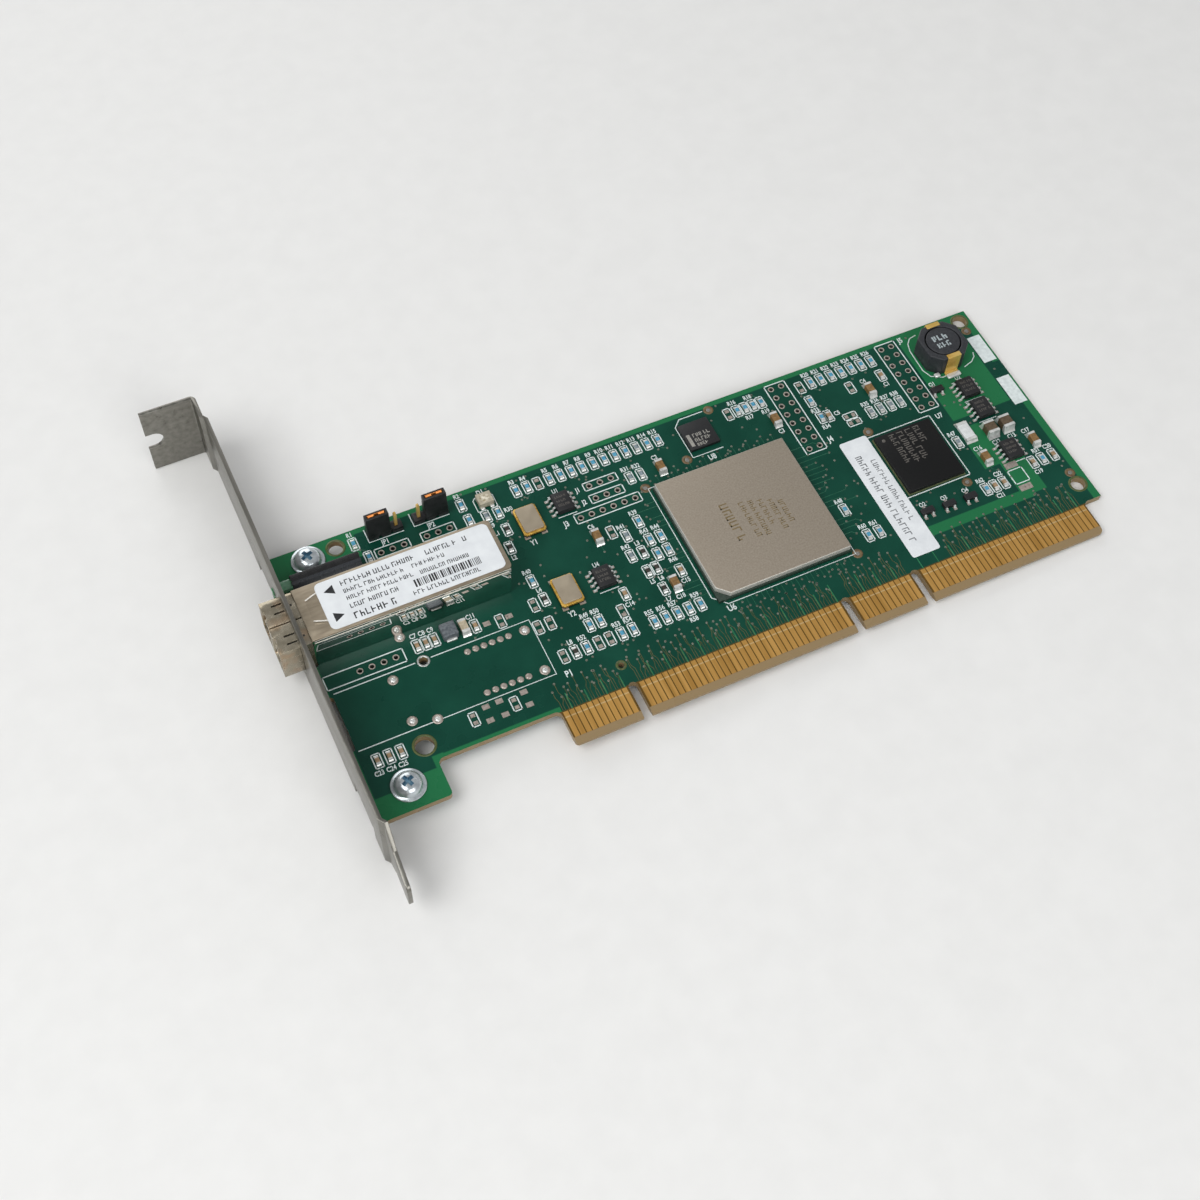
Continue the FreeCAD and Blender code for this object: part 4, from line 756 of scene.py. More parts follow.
def glyph_row(x0, x1, y, high, z, chance, turned=False, weight=0.17):
    """Thin plates that read as a row of print from afar but spell nothing."""
    made = []
    x = x0
    word = chance.randint(3, 8)
    while x + 0.7 * high < x1:
        wide = high * chance.uniform(0.5, 0.7)
        bar = high * weight
        strokes = [(x, x + bar, y, y + high)]
        middle = y + chance.choice((0.0, 0.42, 0.83)) * high
        strokes.append((x + bar, x + wide, middle, middle + bar))
        if chance.random() < 0.6:
            strokes.append((x + wide - bar, x + wide, y, y + high * chance.choice((0.45, 1.0))))
        if turned:
            strokes = [(c, d, -b, -a) for a, b, c, d in strokes]
        made += [(a, b, c, d, z, z + ink) for a, b, c, d in strokes]
        x += wide + high * 0.22
        word -= 1
        if word == 0:
            x += high * 0.35
            word = chance.randint(3, 8)
    return made


label_top = islands("transceiver_label")[0][1].z
label_chance = random.Random(5)
print_plates = []
for x0, x1, y, high in ((10.6, 27.0, 46.2, 1.15), (28.6, 35.4, 46.2, 1.15), (36.6, 38.0, 46.2, 1.15),
                        (10.6, 23.4, 44.4, 0.95), (25.0, 32.0, 44.4, 0.95), (10.6, 24.6, 42.6, 0.95),
                        (26.0, 37.0, 42.4, 0.95), (10.6, 21.0, 40.6, 1.05), (10.6, 20.4, 38.0, 1.5),
                        (23.0, 38.4, 38.3, 1.0)):
    print_plates += glyph_row(x0, x1, y, high, label_top, label_chance)
bar_x = 24.0
while bar_x < 38.0:
    bar_wide = label_chance.choice((0.14, 0.14, 0.26, 0.38))
    print_plates.append((bar_x, bar_x + bar_wide, 39.9, 41.7, label_top, label_top + ink))
    bar_x += bar_wide + label_chance.choice((0.16, 0.16, 0.28))
plates("label_print", print_plates, ink_finish)


def prism(work, base, tops):
    """Joins two rings of corners by a wall of faces."""
    for i in range(len(base)):
        j = (i + 1) % len(base)
        work.faces.new((base[i], base[j], tops[j], tops[i]))


arrows = bmesh.new()
for corners in (((6.9, 46.1), (9.0, 45.0), (9.0, 47.2)), ((9.0, 39.9), (6.9, 41.0), (6.9, 38.8))):
    ends = [[arrows.verts.new(at(x, y, z)) for x, y in corners] for z in (label_top, label_top + ink)]
    for end in ends:
        arrows.faces.new(end)
    prism(arrows, *ends)
bmesh.ops.recalc_face_normals(arrows, faces=arrows.faces)
show("port_arrows", as_mesh(arrows), finish=ink_finish)

# Indicator light guide: a black moulded holder on the card, its upper front edge sloped, and a
# clear moulded guide that takes the light from it to two stubs in the bracket. The slope is
# painted a lighter grey as a painted highlight, and the guide's green is a painted see-through tint.
# The guide's green stands for the card seen through it: a painted see-through tint on a clear body.
clear_finish = grown("clear_guide", "5fae7c", "9ad8b0", 3, rough=(0.04, 0.10))
skin(clear_finish, {"Transmission Weight": 0.6, "IOR": 1.58})
holder_finish = grown("polished_black", "0d0e0f", "161718", 1.5, rough=(0.22, 0.32))
holder_low, holder_high = islands("light_guide_holder")[0]
holder_slope = 1.4
# Painted highlight: the sloped front facet is tinted a lighter grey.
short_of(holder_finish, "Y", at(0, holder_low.y + holder_slope).y, "303337")


def slope_front(work):
    """Takes the upper front edge off the holder."""
    corner = at(0, holder_low.y, holder_high.z)
    edges = [e for e in work.edges
             if all(abs(v.co.y - corner.y) < 1e-5 and abs(v.co.z - corner.z) < 1e-5 for v in e.verts)]
    bmesh.ops.bevel(work, geom=edges, offset=holder_slope / 1000, segments=1, affect="EDGES")


dressed("light_guide_holder", "guide_holder", 0.12, holder_finish, segments=3,
        change=slope_front)
dressed("light_guide", "guide_lens", 0.08, clear_finish)

# Jumper headers: square gold pins pressed through black bases, with two open-topped shunts,
# their front walls leaning back, whose bent bronze clips show from above.
clip_finish = grown("bronze_clip", "b8692c", "dd9048", 0.5, rough=(0.25, 0.4), metallic=0.6)
pin_gold = grown("pin_gold", "dcae52", "f4d283", 2.5, rough=(0.16, 0.26), metallic=0.4)
part_tree, part_in = new_tree("laid_out_part", Places="Geometry", Part="Object", Size="Vector",
                              Finish="Material")
part_info = wire(part_tree, "GeometryNodeObjectInfo", {"Object": part_in["Part"]}).outputs["Geometry"]
part_size = wire(part_tree, "GeometryNodeTransform", {"Geometry": part_info, "Scale": part_in["Size"]})
part_angle = wire(part_tree, "GeometryNodeInputNamedAttribute", {"Name": "turn"}, data_type="FLOAT_VECTOR")
part_spin = wire(part_tree, "FunctionNodeEulerToRotation", {"Euler": part_angle.outputs["Attribute"]})
end_tree(part_tree, part_in, spread(part_tree, part_in["Places"], part_size, Rotation=part_spin))


def laid(part, places, finish, turns=None):
    """A mesh with the part, drawn in millimetres, at every place, turned there if asked."""
    holder = placed("part", part)
    values = {"Part": holder, "Size": (0.001, 0.001, 0.001), "Finish": finish}
    mesh = grow_mesh(part_tree, [at(*place) for place in places], values, turns=turns or [0.0] * len(places))
    bpy.data.objects.remove(holder)
    return mesh


def block_part(box, round_mm, segments=2):
    """A box in millimetres, as (x0, x1, y0, y1, z0, z1), with rounded edges."""
    x0, x1, y0, y1, z0, z1 = box
    work = bmesh.new()
    for v in bmesh.ops.create_cube(work, size=1.0)["verts"]:
        v.co = ((x0 + x1) / 2 + v.co.x * (x1 - x0), (y0 + y1) / 2 + v.co.y * (y1 - y0),
                (z0 + z1) / 2 + v.co.z * (z1 - z0))
    bmesh.ops.bevel(work, geom=work.edges[:], offset=round_mm, segments=segments, affect="EDGES", profile=0.5)
    return as_mesh(work)


def strip_part(path, thick, width, along="x"):
    """A bent strip in millimetres: path is its middle line as (distance, height)."""
    left = []
    right = []
    for i, (u, z) in enumerate(path):
        before, after = path[max(i - 1, 0)], path[min(i + 1, len(path) - 1)]
        way = (Vector(after) - Vector(before)).normalized() * thick / 2
        left.append((u - way.y, z + way.x))
        right.append((u + way.y, z - way.x))
    edge = left + right[::-1]
    work = bmesh.new()
    sides = [[work.verts.new((u, w, z) if along == "x" else (w, u, z)) for u, z in edge]
             for w in (-width / 2, width / 2)]
    prism(work, *sides)
    for side in sides:
        for i in range(len(path) - 1):
            work.faces.new((side[i], side[i + 1], side[-2 - i], side[-1 - i]))
    bmesh.ops.recalc_face_normals(work, faces=work.faces)
    return as_mesh(work)


dressed("header_bases", "jumper_bases", 0.08, black_finish)
shunts = islands("jumper_shunts")
shunt_top = shunts[0][1].z
shunt_lean = 0.72


def lean_front(work):
    """Leans the front wall of each shunt back towards its top."""
    middle = at(0, (shunts[0][0].y + shunts[0][1].y) / 2, shunt_top - 0.1)
    for vertex in work.verts:
        if vertex.co.z > middle.z and vertex.co.y < middle.y:
            vertex.co.y += shunt_lean / 1000


dressed("jumper_shunts", "open_shunts", 0.08, black_finish, change=lean_front)
tongue_path = [(0.56, -3.0), (0.56, -0.20), (0.50, 0.0), (0.38, 0.06), (0.27, -0.06), (0.20, -0.5),
               (0.10, -1.2)]
tongue_part = strip_part(tongue_path, 0.13, 1.25, along="y")
plate_part = block_part((-1.9, 1.9, 0.54, 0.68, -3.0, 0.08), 0.03, 1)
plate_places = [(p.x, p.y, shunt_top) for p in middles("jumper_shunts")]
tongue_places = [(x + side, y, z) for x, y, z in plate_places for side in (-1.15, 1.15)]
clips = [laid(tongue_part, tongue_places, clip_finish), laid(plate_part, plate_places, clip_finish)]
show("shunt_springs", joined(clips), ["shunt_clips"])
pin_low, pin_high = islands("header_pins")[0]
pin_half, pin_point, pin_tip = 0.32, 0.144, 0.5
pin_work = bmesh.new()
pin_steps = [(pin_point, pin_low.z), (pin_half, pin_low.z + pin_tip), (pin_half, pin_high.z - pin_tip),
             (pin_point, pin_high.z)]
pin_turns = [[pin_work.verts.new((i * r, j * r, z)) for i, j in square] for r, z in pin_steps]
for base, tops in zip(pin_turns, pin_turns[1:]):
    prism(pin_work, base, tops)
pin_work.faces.new(pin_turns[0][::-1])
pin_work.faces.new(pin_turns[-1])
pin_places = [(x, y, 0) for x, y in filled_holes]
show("jumper_pins", laid(as_mesh(pin_work), pin_places, pin_gold), ["header_pins"])

# Controller: a laminate package on solder balls under a thick matt nickel lid, one corner of
# which is cut off; its face carries rows of faint etched marks. The lid's sides are painted
# paler than its top, a painted reflection.
lid_finish = grown("matt_nickel_lid", "968b7c", "a69c8d", 0.35, rough=(0.42, 0.55), metallic=0.45, bump=0.1)
lid_tree = lid_finish.node_tree
# Painted reflection: faces of the lid that do not look straight up are tinted a paler grey.
tint(lid_finish, maths(lid_tree, "LESS_THAN", facing_up(lid_tree), 0.93), "cfcdc6")
etch_finish = grown("etched_marks", "776748", "8a7a5a", 0.3, rough=(0.5, 0.6), metallic=0.4)
olive_finish = grown("package_laminate", "1d2c24", "2a3d31", 0.8)
dressed("controller_lid", "controller_cap", 0.22, lid_finish, segments=3)
dressed("controller_substrate", "controller_package", 0.06, olive_finish)
mark_sunk = 0.009
lid_mark_z = islands("controller_lid")[0][1].z - mark_sunk
etch_chance = random.Random(23)
etch_plates = []
for x, high, start, end in ((90.4, 1.9, 37.5, 26.5), (94.4, 1.2, 36.4, 26.6), (96.4, 1.2, 36.0, 26.6),
                            (98.4, 1.2, 35.4, 27.4), (100.4, 1.2, 34.6, 26.6), (102.4, 1.2, 33.6, 27.0)):
    etch_plates += glyph_row(-start, -end, x, high, lid_mark_z, etch_chance, turned=True)
plates("lid_marks", etch_plates, etch_finish)

# Memory and clock chips: matt black moulding compound with a dimple for the first terminal
# and faint laser marks. The memory stands on a thin laminate that is wider than its moulding,
# and the clock chip's print is plainer.
mould_finish = grown("moulding_compound", "131416", "1f2022", 0.25, rough=(0.42, 0.58), bump=0.12)
memory_finish = grown("fine_moulding_compound", "060707", "0d0e0f", 0.25, bump=0.12)
skin(memory_finish, {"Specular IOR Level": 0.3})
faint_finish = grown("laser_marks", "504d49", "625e59", 0.3, rough=(0.5, 0.6))
clock_ink = grown("clock_ink", "82807a", "9c9a93", 0.5, rough=(0.5, 0.6))
edge_finish = grown("package_edge", "4a5236", "5f6746", 0.6)
dressed("memory_chip", "memory_package", 0.10, memory_finish)
dressed("clock_chip", "clock_package", 0.08, mould_finish)
memory_low, memory_high = islands("memory_chip")[0]
memory_top, clock_top, small_chip_top = 1.3, 0.9, 1.6
mark_chance = random.Random(31)
mark_plates = []
for x, start, end in ((133.0, 39.6, 30.6), (135.0, 39.6, 29.6), (137.0, 39.6, 30.4), (139.0, 39.6, 35.0)):
    mark_plates += glyph_row(-start, -end, x, 1.4, memory_top - mark_sunk, mark_chance, turned=True)
clock_plates = [(92.95, 93.75, 54.3, 57.6, clock_top - 0.01, clock_top + 0.002)]
for x0, x1, y, high in ((94.3, 99.0, 56.5, 0.95), (94.3, 98.9, 55.2, 0.95), (94.3, 97.2, 54.0, 0.85)):
    clock_plates += glyph_row(x0, x1, y, high, clock_top - mark_sunk, mark_chance, weight=0.22)
plates("clock_marks", clock_plates, clock_ink)
ledge = 0.22
ledge_plate = (memory_low.x - ledge, memory_high.x + ledge, memory_low.y - ledge, memory_high.y + ledge,
               0.0, 0.36)
plates("memory_laminate", [ledge_plate], edge_finish)
dimple_place = (memory_low.x + 1.55, memory_high.y - 1.5)
dimple = rings([dimple_place], 0.42, 0.01, ink, memory_top - 0.003, faint_finish, sides=20)
show("first_terminal_mark", dimple)
for place in middles("small_chip_bodies"):
    for y in (place.y + 0.9, place.y - 0.2, place.y - 1.3):
        mark_plates += glyph_row(place.x - 1.3, place.x + 1.4, y, 0.62, small_chip_top - 0.003, mark_chance)
plates("chip_marks", mark_plates, faint_finish)

# Eight-lead chips: bodies of black moulding compound on a stamped lead frame. The tinned leads
# are bent down and out like a gull's wings and soldered to pads.
lead_finish = grown("tinned_lead", "c2c4c2", "e2e4e1", 0.4, rough=(0.2, 0.36), metallic=0.45, bump=0.08)
dressed("small_chip_bodies", "eight_lead_bodies", 0.06, mould_finish)


def lead_spots(bodies, leads, axis):
    """Where each lead leaves its body, and the turn that points it outwards along the axis."""
    centres = middles(bodies)
    spots = []
    turns = []
    for low, high in islands(leads):
        spot = (low + high) / 2
        body = min(centres, key=lambda p: abs(p.x - spot.x) + abs(p.y - spot.y))
        outward = low[axis] > body[axis]
        spot[axis] = low[axis] if outward else high[axis]
        spots.append((spot.x, spot.y, 0))
        turns.append(0.0 if outward else math.pi)
    return spots, turns


lead_places, lead_turns = lead_spots("small_chip_bodies", "small_chip_leads", 0)
gull_path = [(-0.05, 0.87), (0.22, 0.87), (0.34, 0.82), (0.42, 0.68), (0.50, 0.28), (0.58, 0.14),
             (0.70, 0.10), (1.05, 0.10)]
gull_part = strip_part(gull_path, 0.2, 0.42)
show("gull_leads", laid(gull_part, lead_places, lead_finish, lead_turns), ["small_chip_leads"])

# Three-lead transistors: small bodies of the same black compound. Two bent, tinned leads leave
# one side and one leaves the other, and each is soldered to its pad.
dressed("transistor_bodies", "three_lead_bodies", 0.09, mould_finish)
foot_places, foot_turns = lead_spots("transistor_bodies", "transistor_leads", 1)
foot_path = [(-0.04, 0.52), (0.12, 0.50), (0.20, 0.40), (0.26, 0.18), (0.34, 0.10), (0.58, 0.08)]
foot_part = strip_part(foot_path, 0.14, 0.44, along="y")
show("foot_leads", laid(foot_part, foot_places, lead_finish, foot_turns), ["transistor_leads"])

# Oscillators: dark ceramic bases with a gold-plated rim, each closed by a drawn metal lid that
# is seam-welded to the rim.
ceramic_gold = grown("plated_ceramic", "c99a3c", "eec566", 0.8, rough=(0.22, 0.36), metallic=0.6)
short_of(ceramic_gold, "Z", at(0, 0, 0.5).z, "2f2a24")
can_finish = grown("welded_lid", "a69a86", "b2a691", 3.0, rough=(0.34, 0.42), metallic=0.5)
dressed("oscillator_bases", "oscillator_ceramics", 0.05, ceramic_gold)
dressed("oscillator_lids", "oscillator_cans", 0.10, can_finish, segments=3)

# Surface light: a cream moulded body with a cup that is filled with clear resin; the resin's
# mottle of dark gold and near-white is partly the metal in the cup and partly painted glints.
# Four tinned feet hold it to the card, each in a bead of solder.
cream_finish = grown("cream_body", "a09884", "b6af9b", 0.6, rough=(0.32, 0.45), bump=0.05)
# Mottled lens: dark gold for the metal in the cup, near-white for painted glints.
resin_and_glint_finish = grown("resin_with_painted_glints", "7f7049", "e0dac8", 0.7, rough=(0.06, 0.14))
solder_finish = grown("bright_solder", "cfd1ce", "eff0ed", 0.8, rough=(0.10, 0.20), metallic=0.45, bump=0.05)
dressed("surface_light_base", "light_body", 0.08, cream_finish)
dressed("surface_light_lens", "light_lens", 0.05, resin_and_glint_finish)
dressed("surface_light_leads", "light_feet", 0.03, tin_finish, segments=1)


def beads(box, round_mm, *places):
    """Beads of solder, each a well rounded box, on the card at the places."""
    return laid(block_part(box, round_mm, 3), [(x, y, 0) for x, y in places], solder_finish)


light_low, light_high = islands("surface_light_base")[0]
light_feet = [(x, y) for x in (light_low.x + 0.55, light_high.x - 0.55)
              for y in (light_low.y - 0.12, light_high.y + 0.12)]
show("light_solder", beads((-0.45, 0.45, -0.4, 0.4, 0.0, 0.55), 0.2, *light_feet), smooth=True)

# Power inductor: a ferrite drum wound with enamelled wire inside an eight-sided ferrite
# shield, with plated strips lapped over the shield and soldered to the card.
ferrite_finish = grown("sintered_ferrite", "24262a", "35373b", 0.35, rough=(0.38, 0.52), bump=0.12)
wire_finish = grown("enamelled_wire", "6e3312", "9a4f20", 0.5, rough=(0.25, 0.35), metallic=0.8)
strip_finish = grown("plated_strip", "d3a850", "ebca78", 4.0, rough=(0.16, 0.26), metallic=0.5)
pale_ink = grown("pale_ink", "8f9a9d", "adb8ba", 0.5, rough=(0.45, 0.6))
dressed("inductor_ring", "inductor_shield", 0.18, ferrite_finish, segments=3)
dressed("inductor_drum", "inductor_core", 0.14, ferrite_finish, segments=3, angle=40)
dressed("inductor_winding", "inductor_coil", 0.05, wire_finish)
dressed("inductor_terminals", "inductor_strips", 0.08, strip_finish)
drum = middles("inductor_drum")[0]
drum_mark_z = islands("inductor_drum")[0][1].z - 0.008
drum_chance = random.Random(3)
drum_plates = glyph_row(drum.x - 2.1, drum.x + 2.4, drum.y + 0.3, 1.5, drum_mark_z, drum_chance, weight=0.26)
drum_plates += glyph_row(drum.x - 1.9, drum.x + 2.2, drum.y - 1.7, 1.3, drum_mark_z, drum_chance, weight=0.26)
plates("drum_print", drum_plates, pale_ink)
terminal_low = min(low.y for low, high in islands("inductor_terminals"))
foot_bead = beads((-1.7, 1.7, -1.0, 0.3, 0.0, 0.62), 0.28, (drum.x, terminal_low))
end_bead = beads((-0.7, 0.7, -0.6, 0.6, 0.0, 0.8), 0.34, (drum.x - 3.6, terminal_low + 0.9))
show("foot_solder", joined([foot_bead, end_bead]), smooth=True)

# Chip resistors, beads and capacitors: ceramic bricks with a coloured glaze and tinned ends,
# soldered to two pads; the solder climbs each end in a hollow fillet.
white_core = grown("alumina_core", "b9bcba", "d0d3d1", 0.3, rough=(0.45, 0.6))


def fillet_part(length, width, height, cap, reach):
    """The two tinned ends of a chip part with the solder that climbs them."""
    work = bmesh.new()
    face = length / 2
    wide = width / 2 + 0.02
    profile = [(face - cap, 0), (face - cap, height), (face - 0.05, height), (face, height - 0.06),
               (face + 0.04, height * 0.62), (face + reach * 0.3, height * 0.32),
               (face + reach * 0.62, height * 0.14), (face + reach, 0.03), (face + reach, 0)]
    for way in (-1, 1):
        sides = [[work.verts.new((x if u <= face else 1.08 * x, way * u, z)) for u, z in profile]
                 for x in (-wide, wide)]
        prism(work, *sides)
        for side in sides:
            work.faces.new(side)
    bmesh.ops.recalc_face_normals(work, faces=work.faces)
    mesh = as_mesh(work)
    mesh.shade_smooth()
    mesh.set_sharp_from_angle(angle=math.radians(35))
    return mesh


def ground(*nodes):
    return [(p.x, p.y, 0) for node in nodes for p in middles(node)]


chip_sites = ground(*chip_nodes)
show("chip_ends", laid(fillet_part(1.6, 0.85, 0.52, 0.30, 0.42), chip_sites, solder_finish))
core_part = block_part((-0.41, 0.41, -0.6, 0.6, 0.02, 0.44), 0.03, 1)
core_sites = ground("blue_resistors", "grey_resistors")
show("resistor_cores", laid(core_part, core_sites, white_core))
glaze_part = block_part((-0.40, 0.40, -0.52, 0.52, 0.40, 0.51), 0.04)
brick_part = block_part((-0.42, 0.42, -0.6, 0.6, 0.0, 0.5), 0.05)
for node, part, slot, dark, light, rough in (
        ("blue_resistors", glaze_part, "blue_glaze", "3f86a6", "5aa3c0", (0.2, 0.32)),
        ("grey_resistors", glaze_part, "grey_glaze", "6f7b80", "87949a", (0.2, 0.32)),
        ("dark_beads", brick_part, "dark_ferrite", "2a2722", "3d3932", (0.35, 0.5)),
        ("small_capacitors", brick_part, "tan_ceramic", "8a7358", "a68c6c", (0.4, 0.55))):
    finish = grown(slot + "_finish", dark, light, 0.4, rough=rough, bump=0.05)
    show(slot + "_chips", laid(part, ground(node), finish), [node])

# Larger capacitors: bricks of layered brown ceramic, two of them wider and taller and one of a
# pale ceramic. Their ends are tinned and soldered like those of the small ones.
large_sites = ground("large_capacitors", "pale_capacitor")
large_ends = laid(fillet_part(3.2, 1.6, 1.32, 0.6, 0.55), large_sites, solder_finish)
wide_ends = laid(fillet_part(3.2, 2.5, 2.02, 0.6, 0.65), ground("wide_capacitors"), solder_finish)
show("capacitor_ends", joined([large_ends, wide_ends]), ["capacitor_caps"])
large_part = block_part((-0.8, 0.8, -1.2, 1.2, 0, 1.3), 0.10)
wide_part = block_part((-1.25, 1.25, -1.2, 1.2, 0, 2.0), 0.12)
for node, part, slot, name, dark, light in (
        ("large_capacitors", large_part, "brown_ceramic", "brown_ceramic", "6e5430", "8d6d42"),
        ("wide_capacitors", wide_part, "brown_ceramic", "dark_brown_ceramic", "4b3d2d", "62523f"),
        ("pale_capacitor", large_part, "pale_ceramic", "pale_ceramic", "a3977f", "bdb29b")):
    finish = grown(name, dark, light, 0.5, rough=(0.38, 0.52), bump=0.06)
    show(node + "_bricks", laid(part, ground(node), finish), [node])

# Current-sense resistor: a flat white ceramic block with wide tinned ends. Beside the
# transceiver stands a square moulded filter coil, soldered along two sides.
white_finish = grown("white_ceramic", "c9cccc", "dde0e0", 0.6, bump=0.05)
sense_ends = laid(fillet_part(5.0, 2.5, 0.82, 0.65, 0.5), ground("sense_resistor"), solder_finish)
show("sense_ends", sense_ends, ["sense_resistor_caps"])
dressed("sense_resistor", "sense_block", 0.08, white_finish)
coil_finish = grown("filter_coil_case", "4a4f55", "6d7479", 0.5, rough=(0.35, 0.5), bump=0.08)
dressed("filter_coil", "filter_block", 0.20, coil_finish, segments=3)
coil_low, coil_high = islands("filter_coil")[0]
coil_sides = [((coil_low.x + coil_high.x) / 2, y) for y in (coil_low.y - 0.1, coil_high.y + 0.1)]
show("coil_solder", beads((-1.15, 1.15, -0.35, 0.35, 0.0, 0.6), 0.2, *coil_sides), smooth=True)

# Stock label: a strip of white film on the card with two rows of small print, set to be read
# from the connector's end.
dressed("stock_label", "stock_film", 0.03, film_finish, segments=1)
stock_low, stock_high = islands("stock_label")[0]
grey_ink = grown("grey_ink", "6d7072", "84878a", 0.6, rough=(0.45, 0.6))
stock_chance = random.Random(47)
stock_plates = glyph_row(-38.0, -13.5, stock_low.x + 1.5, 1.45, stock_high.z, stock_chance, turned=True)
stock_plates += glyph_row(-36.0, -19.0, stock_low.x + 4.2, 1.2, stock_high.z, stock_chance, turned=True)
plates("stock_print", stock_plates, grey_ink)

# Bare solder pads: tinned copper where no part is fitted, under the leads and at the second
# optical site, whose holes are filled with domes of solder.
pad_plates = []
pad_thick = 0.035


def pad(x, y, wide, long):
    pad_plates.append((x - wide / 2, x + wide / 2, y - long / 2, y + long / 2, 0.0, pad_thick))


empty_sites = [(58.9, 59.6), (67.9, 41.9), (45.9, 32.2), (44.6, 27.0), (47.2, 27.0), (61.7, 23.6),
               (46.5, 18.8), (54.2, 18.8), (56.7, 18.8), (104.5, 59.6), (122.5, 59.8), (132.8, 55.3),
               (38.2, 31.5), (24.7, 13.1), (33.4, 13.0)]
crosswise_sites = [(128.8, 48.5), (128.9, 46.6)]
for way in (-0.85, 0.85):
    for x, y in empty_sites:
        pad(x, y + way, 0.95, 0.8)
    for x, y in crosswise_sites:
        pad(x + way, y, 0.8, 0.95)
for x, y in ((27.8, 14.7), (27.5, 11.6), (30.7, 14.8), (30.7, 11.6), (35.9, 14.7), (35.9, 11.7), (35.4, 32.1),
             (40.2, 31.9)):
    pad(x, y, 1.5, 1.1)
pad(154.2, 22.7, 3.0, 1.5)
pad(154.1, 16.5, 3.0, 1.5)
for (x, y, z), angle in zip(lead_places, lead_turns):
    pad(x + 0.85 * math.cos(angle), y, 0.9, 0.62)
for (x, y, z), angle in zip(foot_places, foot_turns):
    pad(x, y + 0.42 * math.cos(angle), 0.75, 1.0)
for low, high in islands("oscillator_bases"):
    for x in (low.x + 0.6, high.x - 0.6):
        for y in (low.y, high.y):
            pad(x, y, 1.3, 0.9)
plates("bare_pads", pad_plates, pad_finish)
site_pads = [(18.24, 36.25), (13.44, 27.66), (41.73, 27.56), (41.74, 17.5), (13.55, 17.68), (18.24, 16.05)]
site_holes = [(29.35 + i * 1.78, y) for y in (27.66, 17.53) for i in range(6)]
show("site_rims", rings(site_pads, 1.1, 0.5, 0.10, 0.03, pad_finish, sides=20))
dome_profile = [(0, 0), (1, 0), (0.97, 0.08), (0.72, 0.20), (0.4, 0.27), (0, 0.29)]
for name, places, radius, finish in (("site_pads", site_pads, 0.62, solder_finish),
                                     ("site_holes", site_holes, 0.72, pad_finish)):
    dome = lathe([(share * radius, z) for share, z in dome_profile], 20)
    show(name, laid(dome, [(x, y, 0) for x, y in places], finish), smooth=True)

# Silkscreen: white ink printed on the mask, with a box round each small part, outlines for
# headers and chips, and plain part numbers in running order.
silk_finish = grown("silkscreen_ink", "c8d2d1", "dfe8e7", 0.8, rough=(0.5, 0.65))
silk_plates = []
line, silk_z = 0.24, 0.016


def silk(x0, x1, y0, y1):
    silk_plates.append((x0, x1, y0, y1, 0.0, silk_z))


def outline(x0, x1, y0, y1):
    """Four strips round a patch."""
    silk(x0, x1, y0, y0 + line)
    silk(x0, x1, y1 - line, y1)
    silk(x0, x0 + line, y0, y1)
    silk(x1 - line, x1, y0, y1)


half_wide, half_long = 0.95, 1.7
for x, y in [site[:2] for site in chip_sites] + empty_sites:
    outline(x - half_wide, x + half_wide, y - half_long, y + half_long)
    busy.append((x - half_wide, x + half_wide, y - half_long, y + half_long))
for x, y in crosswise_sites:
    outline(x - half_long, x + half_long, y - half_wide, y + half_wide)
for x0, x1, y0, y1 in ((67.2, 75.2, 53.5, 55.75), (67.2, 75.2, 50.0, 52.4), (62.2, 77.6, 46.5, 49.2),
                       (115.0, 120.2, 42.8, 63.3), (143.2, 148.4, 42.8, 63.4), (0.8, 17.8, 30.5, 33.9),
                       (20.9, 28.7, 55.4, 58.0), (31.1, 38.8, 55.4, 58.0), (129.0, 145.0, 24.1, 41.7),
                       (152.4, 156.1, 17.7, 21.6)):
    outline(x0, x1, y0, y1)
    busy += [(x0, x1, y0, y0 + line), (x0, x1, y1 - line, y1)]
frame_half, frame_cut = 16.2, 2.6
frame_middle = (controller_low + controller_high) / 2
left, right = frame_middle.x - frame_half, frame_middle.x + frame_half
near, far = frame_middle.y - frame_half, frame_middle.y + frame_half
silk_paths = [
    [(1.7, 29.5), (18.9, 29.5)],
    [(22.2, 29.5), (43.5, 29.5), (43.5, 15.8), (1.7, 15.8)],
    [(left, near + frame_cut), (left + frame_cut, near), (right, near), (right, far), (left, far),
     (left, near + frame_cut)],
    [(99.5, 52.25), (92.2, 52.25), (92.2, 61.0), (93.9, 62.7), (99.6, 62.7)],
    [(153.8, 62.6), (152.0, 62.2), (150.9, 61.0), (150.3, 59.0), (150.1, 53.0), (150.9, 50.9), (153.2, 49.6),
     (155.0, 49.6)],
    [(159.3, 50.2), (161.6, 50.9), (162.8, 51.9), (163.2, 53.0)],
    [(28.6, 59.95), (20.9, 59.95), (20.9, 63.4)],
    [(38.8, 59.95), (30.9, 59.95), (30.9, 63.4)],
    [(45.2, 57.6), (44.5, 57.9), (44.5, 60.9), (45.2, 61.5)],
    [(48.2, 57.6), (48.9, 57.9), (48.9, 60.9), (48.2, 61.5)],
]
show("silk_curves", traces(silk_paths, 0.26, 0.0, silk_finish))
for path in silk_paths:
    for (x0, y0), (x1, y1) in zip(path, path[1:]):
        busy.append((min(x0, x1) - 0.2, max(x0, x1) + 0.2, min(y0, y1) - 0.2, max(y0, y1) + 0.2))
for corners in white_blocks:
    silk(*corners)
for low, high in islands("small_chip_bodies"):
    silk(low.x - 0.2, high.x + 0.2, low.y - 0.5, low.y - 0.3)
    silk(low.x - 0.2, high.x + 0.2, high.y + 0.3, high.y + 0.5)
plates("silk_lines", silk_plates, silk_finish)
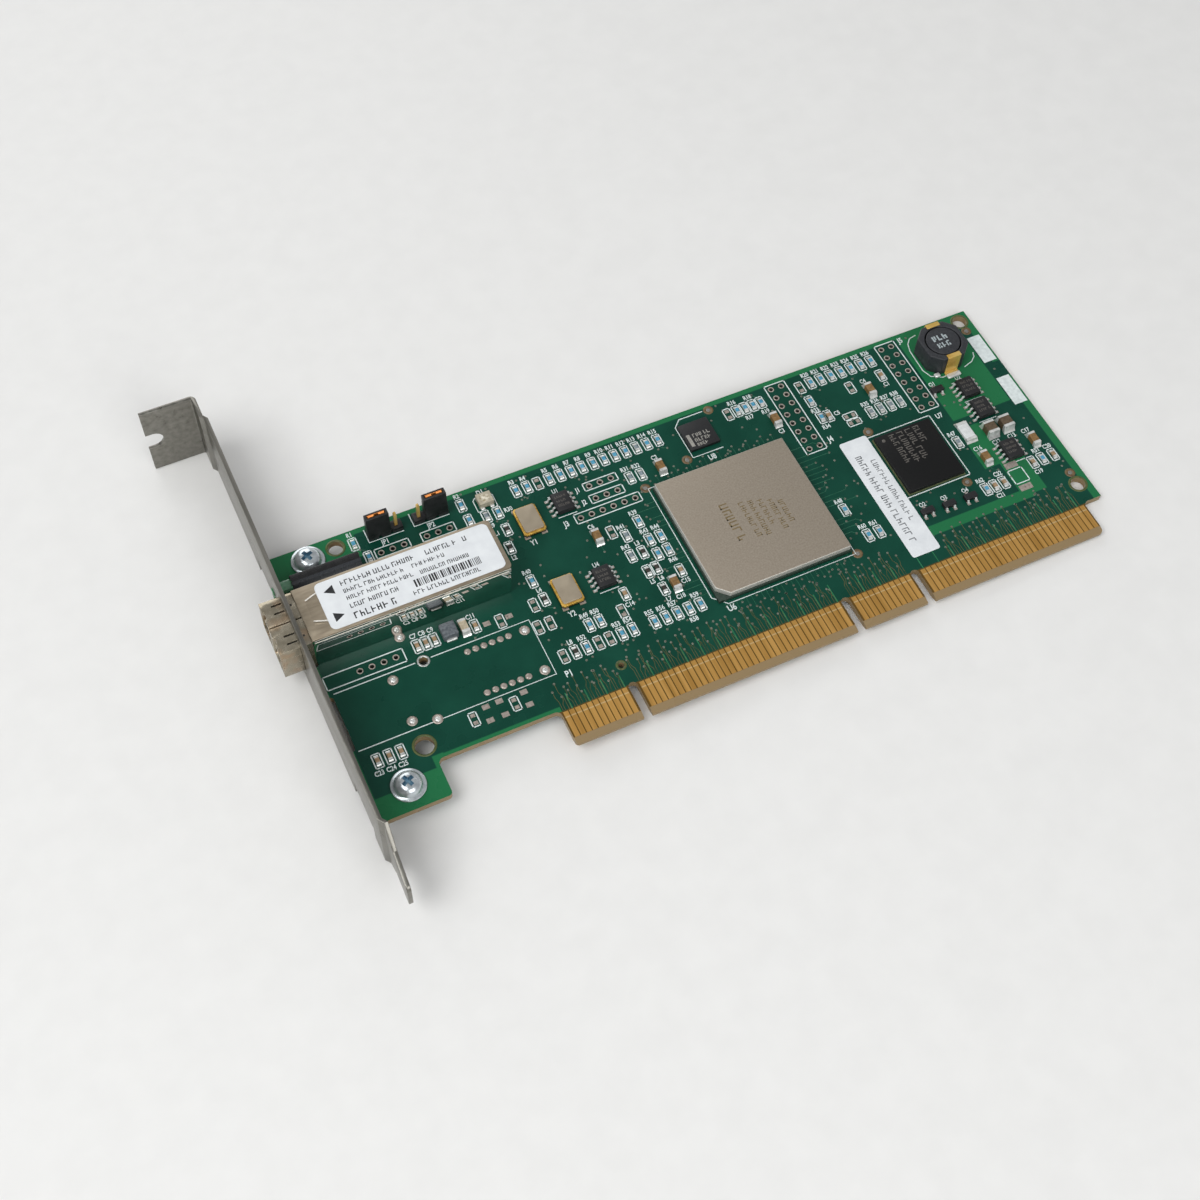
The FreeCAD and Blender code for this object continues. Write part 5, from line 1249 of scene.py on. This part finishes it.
text_meshes = []
text_z = 0.03


def letters(text, x, y, high):
    """Printed characters whose lower left corner is at x, y."""
    curve = bpy.data.curves.new("letters", "FONT")
    curve.body = text
    curve.size = high * 1.4
    curve.resolution_u = 2
    curve.extrude = 0.004
    curve.offset = 0.035 * high
    mesh = plain(placed("letters", curve))
    mesh.transform(Matrix.Translation(at(x, y, text_z)) @ Matrix.Diagonal((0.00076, 0.001, 0.001, 1.0)))
    text_meshes.append(mesh)


def named(text, x0, x1, y0, y1, high=1.1):
    """Prints a part number in the first free place above, below or beside a patch."""
    wide = len(text) * high * 0.67
    middle = (x0 + x1) / 2
    tries = [(middle - wide / 2, y1 + 0.3), (middle - wide / 2, y0 - 0.3 - high)]
    if y1 < 15:
        tries = [(x - 0.5, y) for x, y in tries[::-1]]
    tries += [(x1 + 0.4, (y0 + y1) / 2 - high / 2), (x0 - 0.4 - wide, (y0 + y1) / 2 - high / 2)]
    for x, y in tries:
        if is_free(x, x + wide, y, y + high):
            letters(text, x, y, high)
            busy.append((x - 0.1, x + wide + 0.1, y - 0.1, y + high + 0.1))
            return


kinds = [(node, letter, half_wide, half_long) for node, letter in zip(chip_nodes, "RRLC")]
kinds += [(node, "C", 1.3, 2.2) for node in ("large_capacitors", "wide_capacitors", "pale_capacitor")]
kinds += [("small_chip_bodies", "U", 2.2, 3.0), ("transistor_bodies", "Q", 1.5, 1.3)]
numbered = []
for node, letter, across, along in kinds:
    numbered += [(p.y, p.x, letter, across, along) for p in middles(node)]
counts = dict.fromkeys("RLCUQ", 0)
for y, x, letter, across, along in sorted(numbered, key=lambda n: (-round(n[0] / 3), n[1])):
    counts[letter] += 1
    named(letter + str(counts[letter]), x - across, x + across, y - along, y + along)
for text, x, y, high in (("J1", 65.4, 54.0, 1.2), ("J2", 65.4, 50.6, 1.2), ("J3", 59.6, 47.0, 1.4),
                         ("U6", 81.5, 14.6, 1.5), ("U7", 146.0, 40.0, 1.3), ("Y1", 51.4, 45.6, 1.3),
                         ("Y2", 51.4, 26.6, 1.3), ("D1", 45.9, 61.9, 1.2), ("P1", 45.0, 14.2, 1.5),
                         ("JP1", 23.2, 58.35, 1.25), ("JP2", 33.4, 58.35, 1.25), ("J4", 121.2, 44.0, 1.5),
                         ("J5", 149.2, 62.0, 1.4), ("U8", 95.2, 50.2, 1.4)):
    letters(text, x, y, high)
show("silk_text", joined(text_meshes), finish=silk_finish)
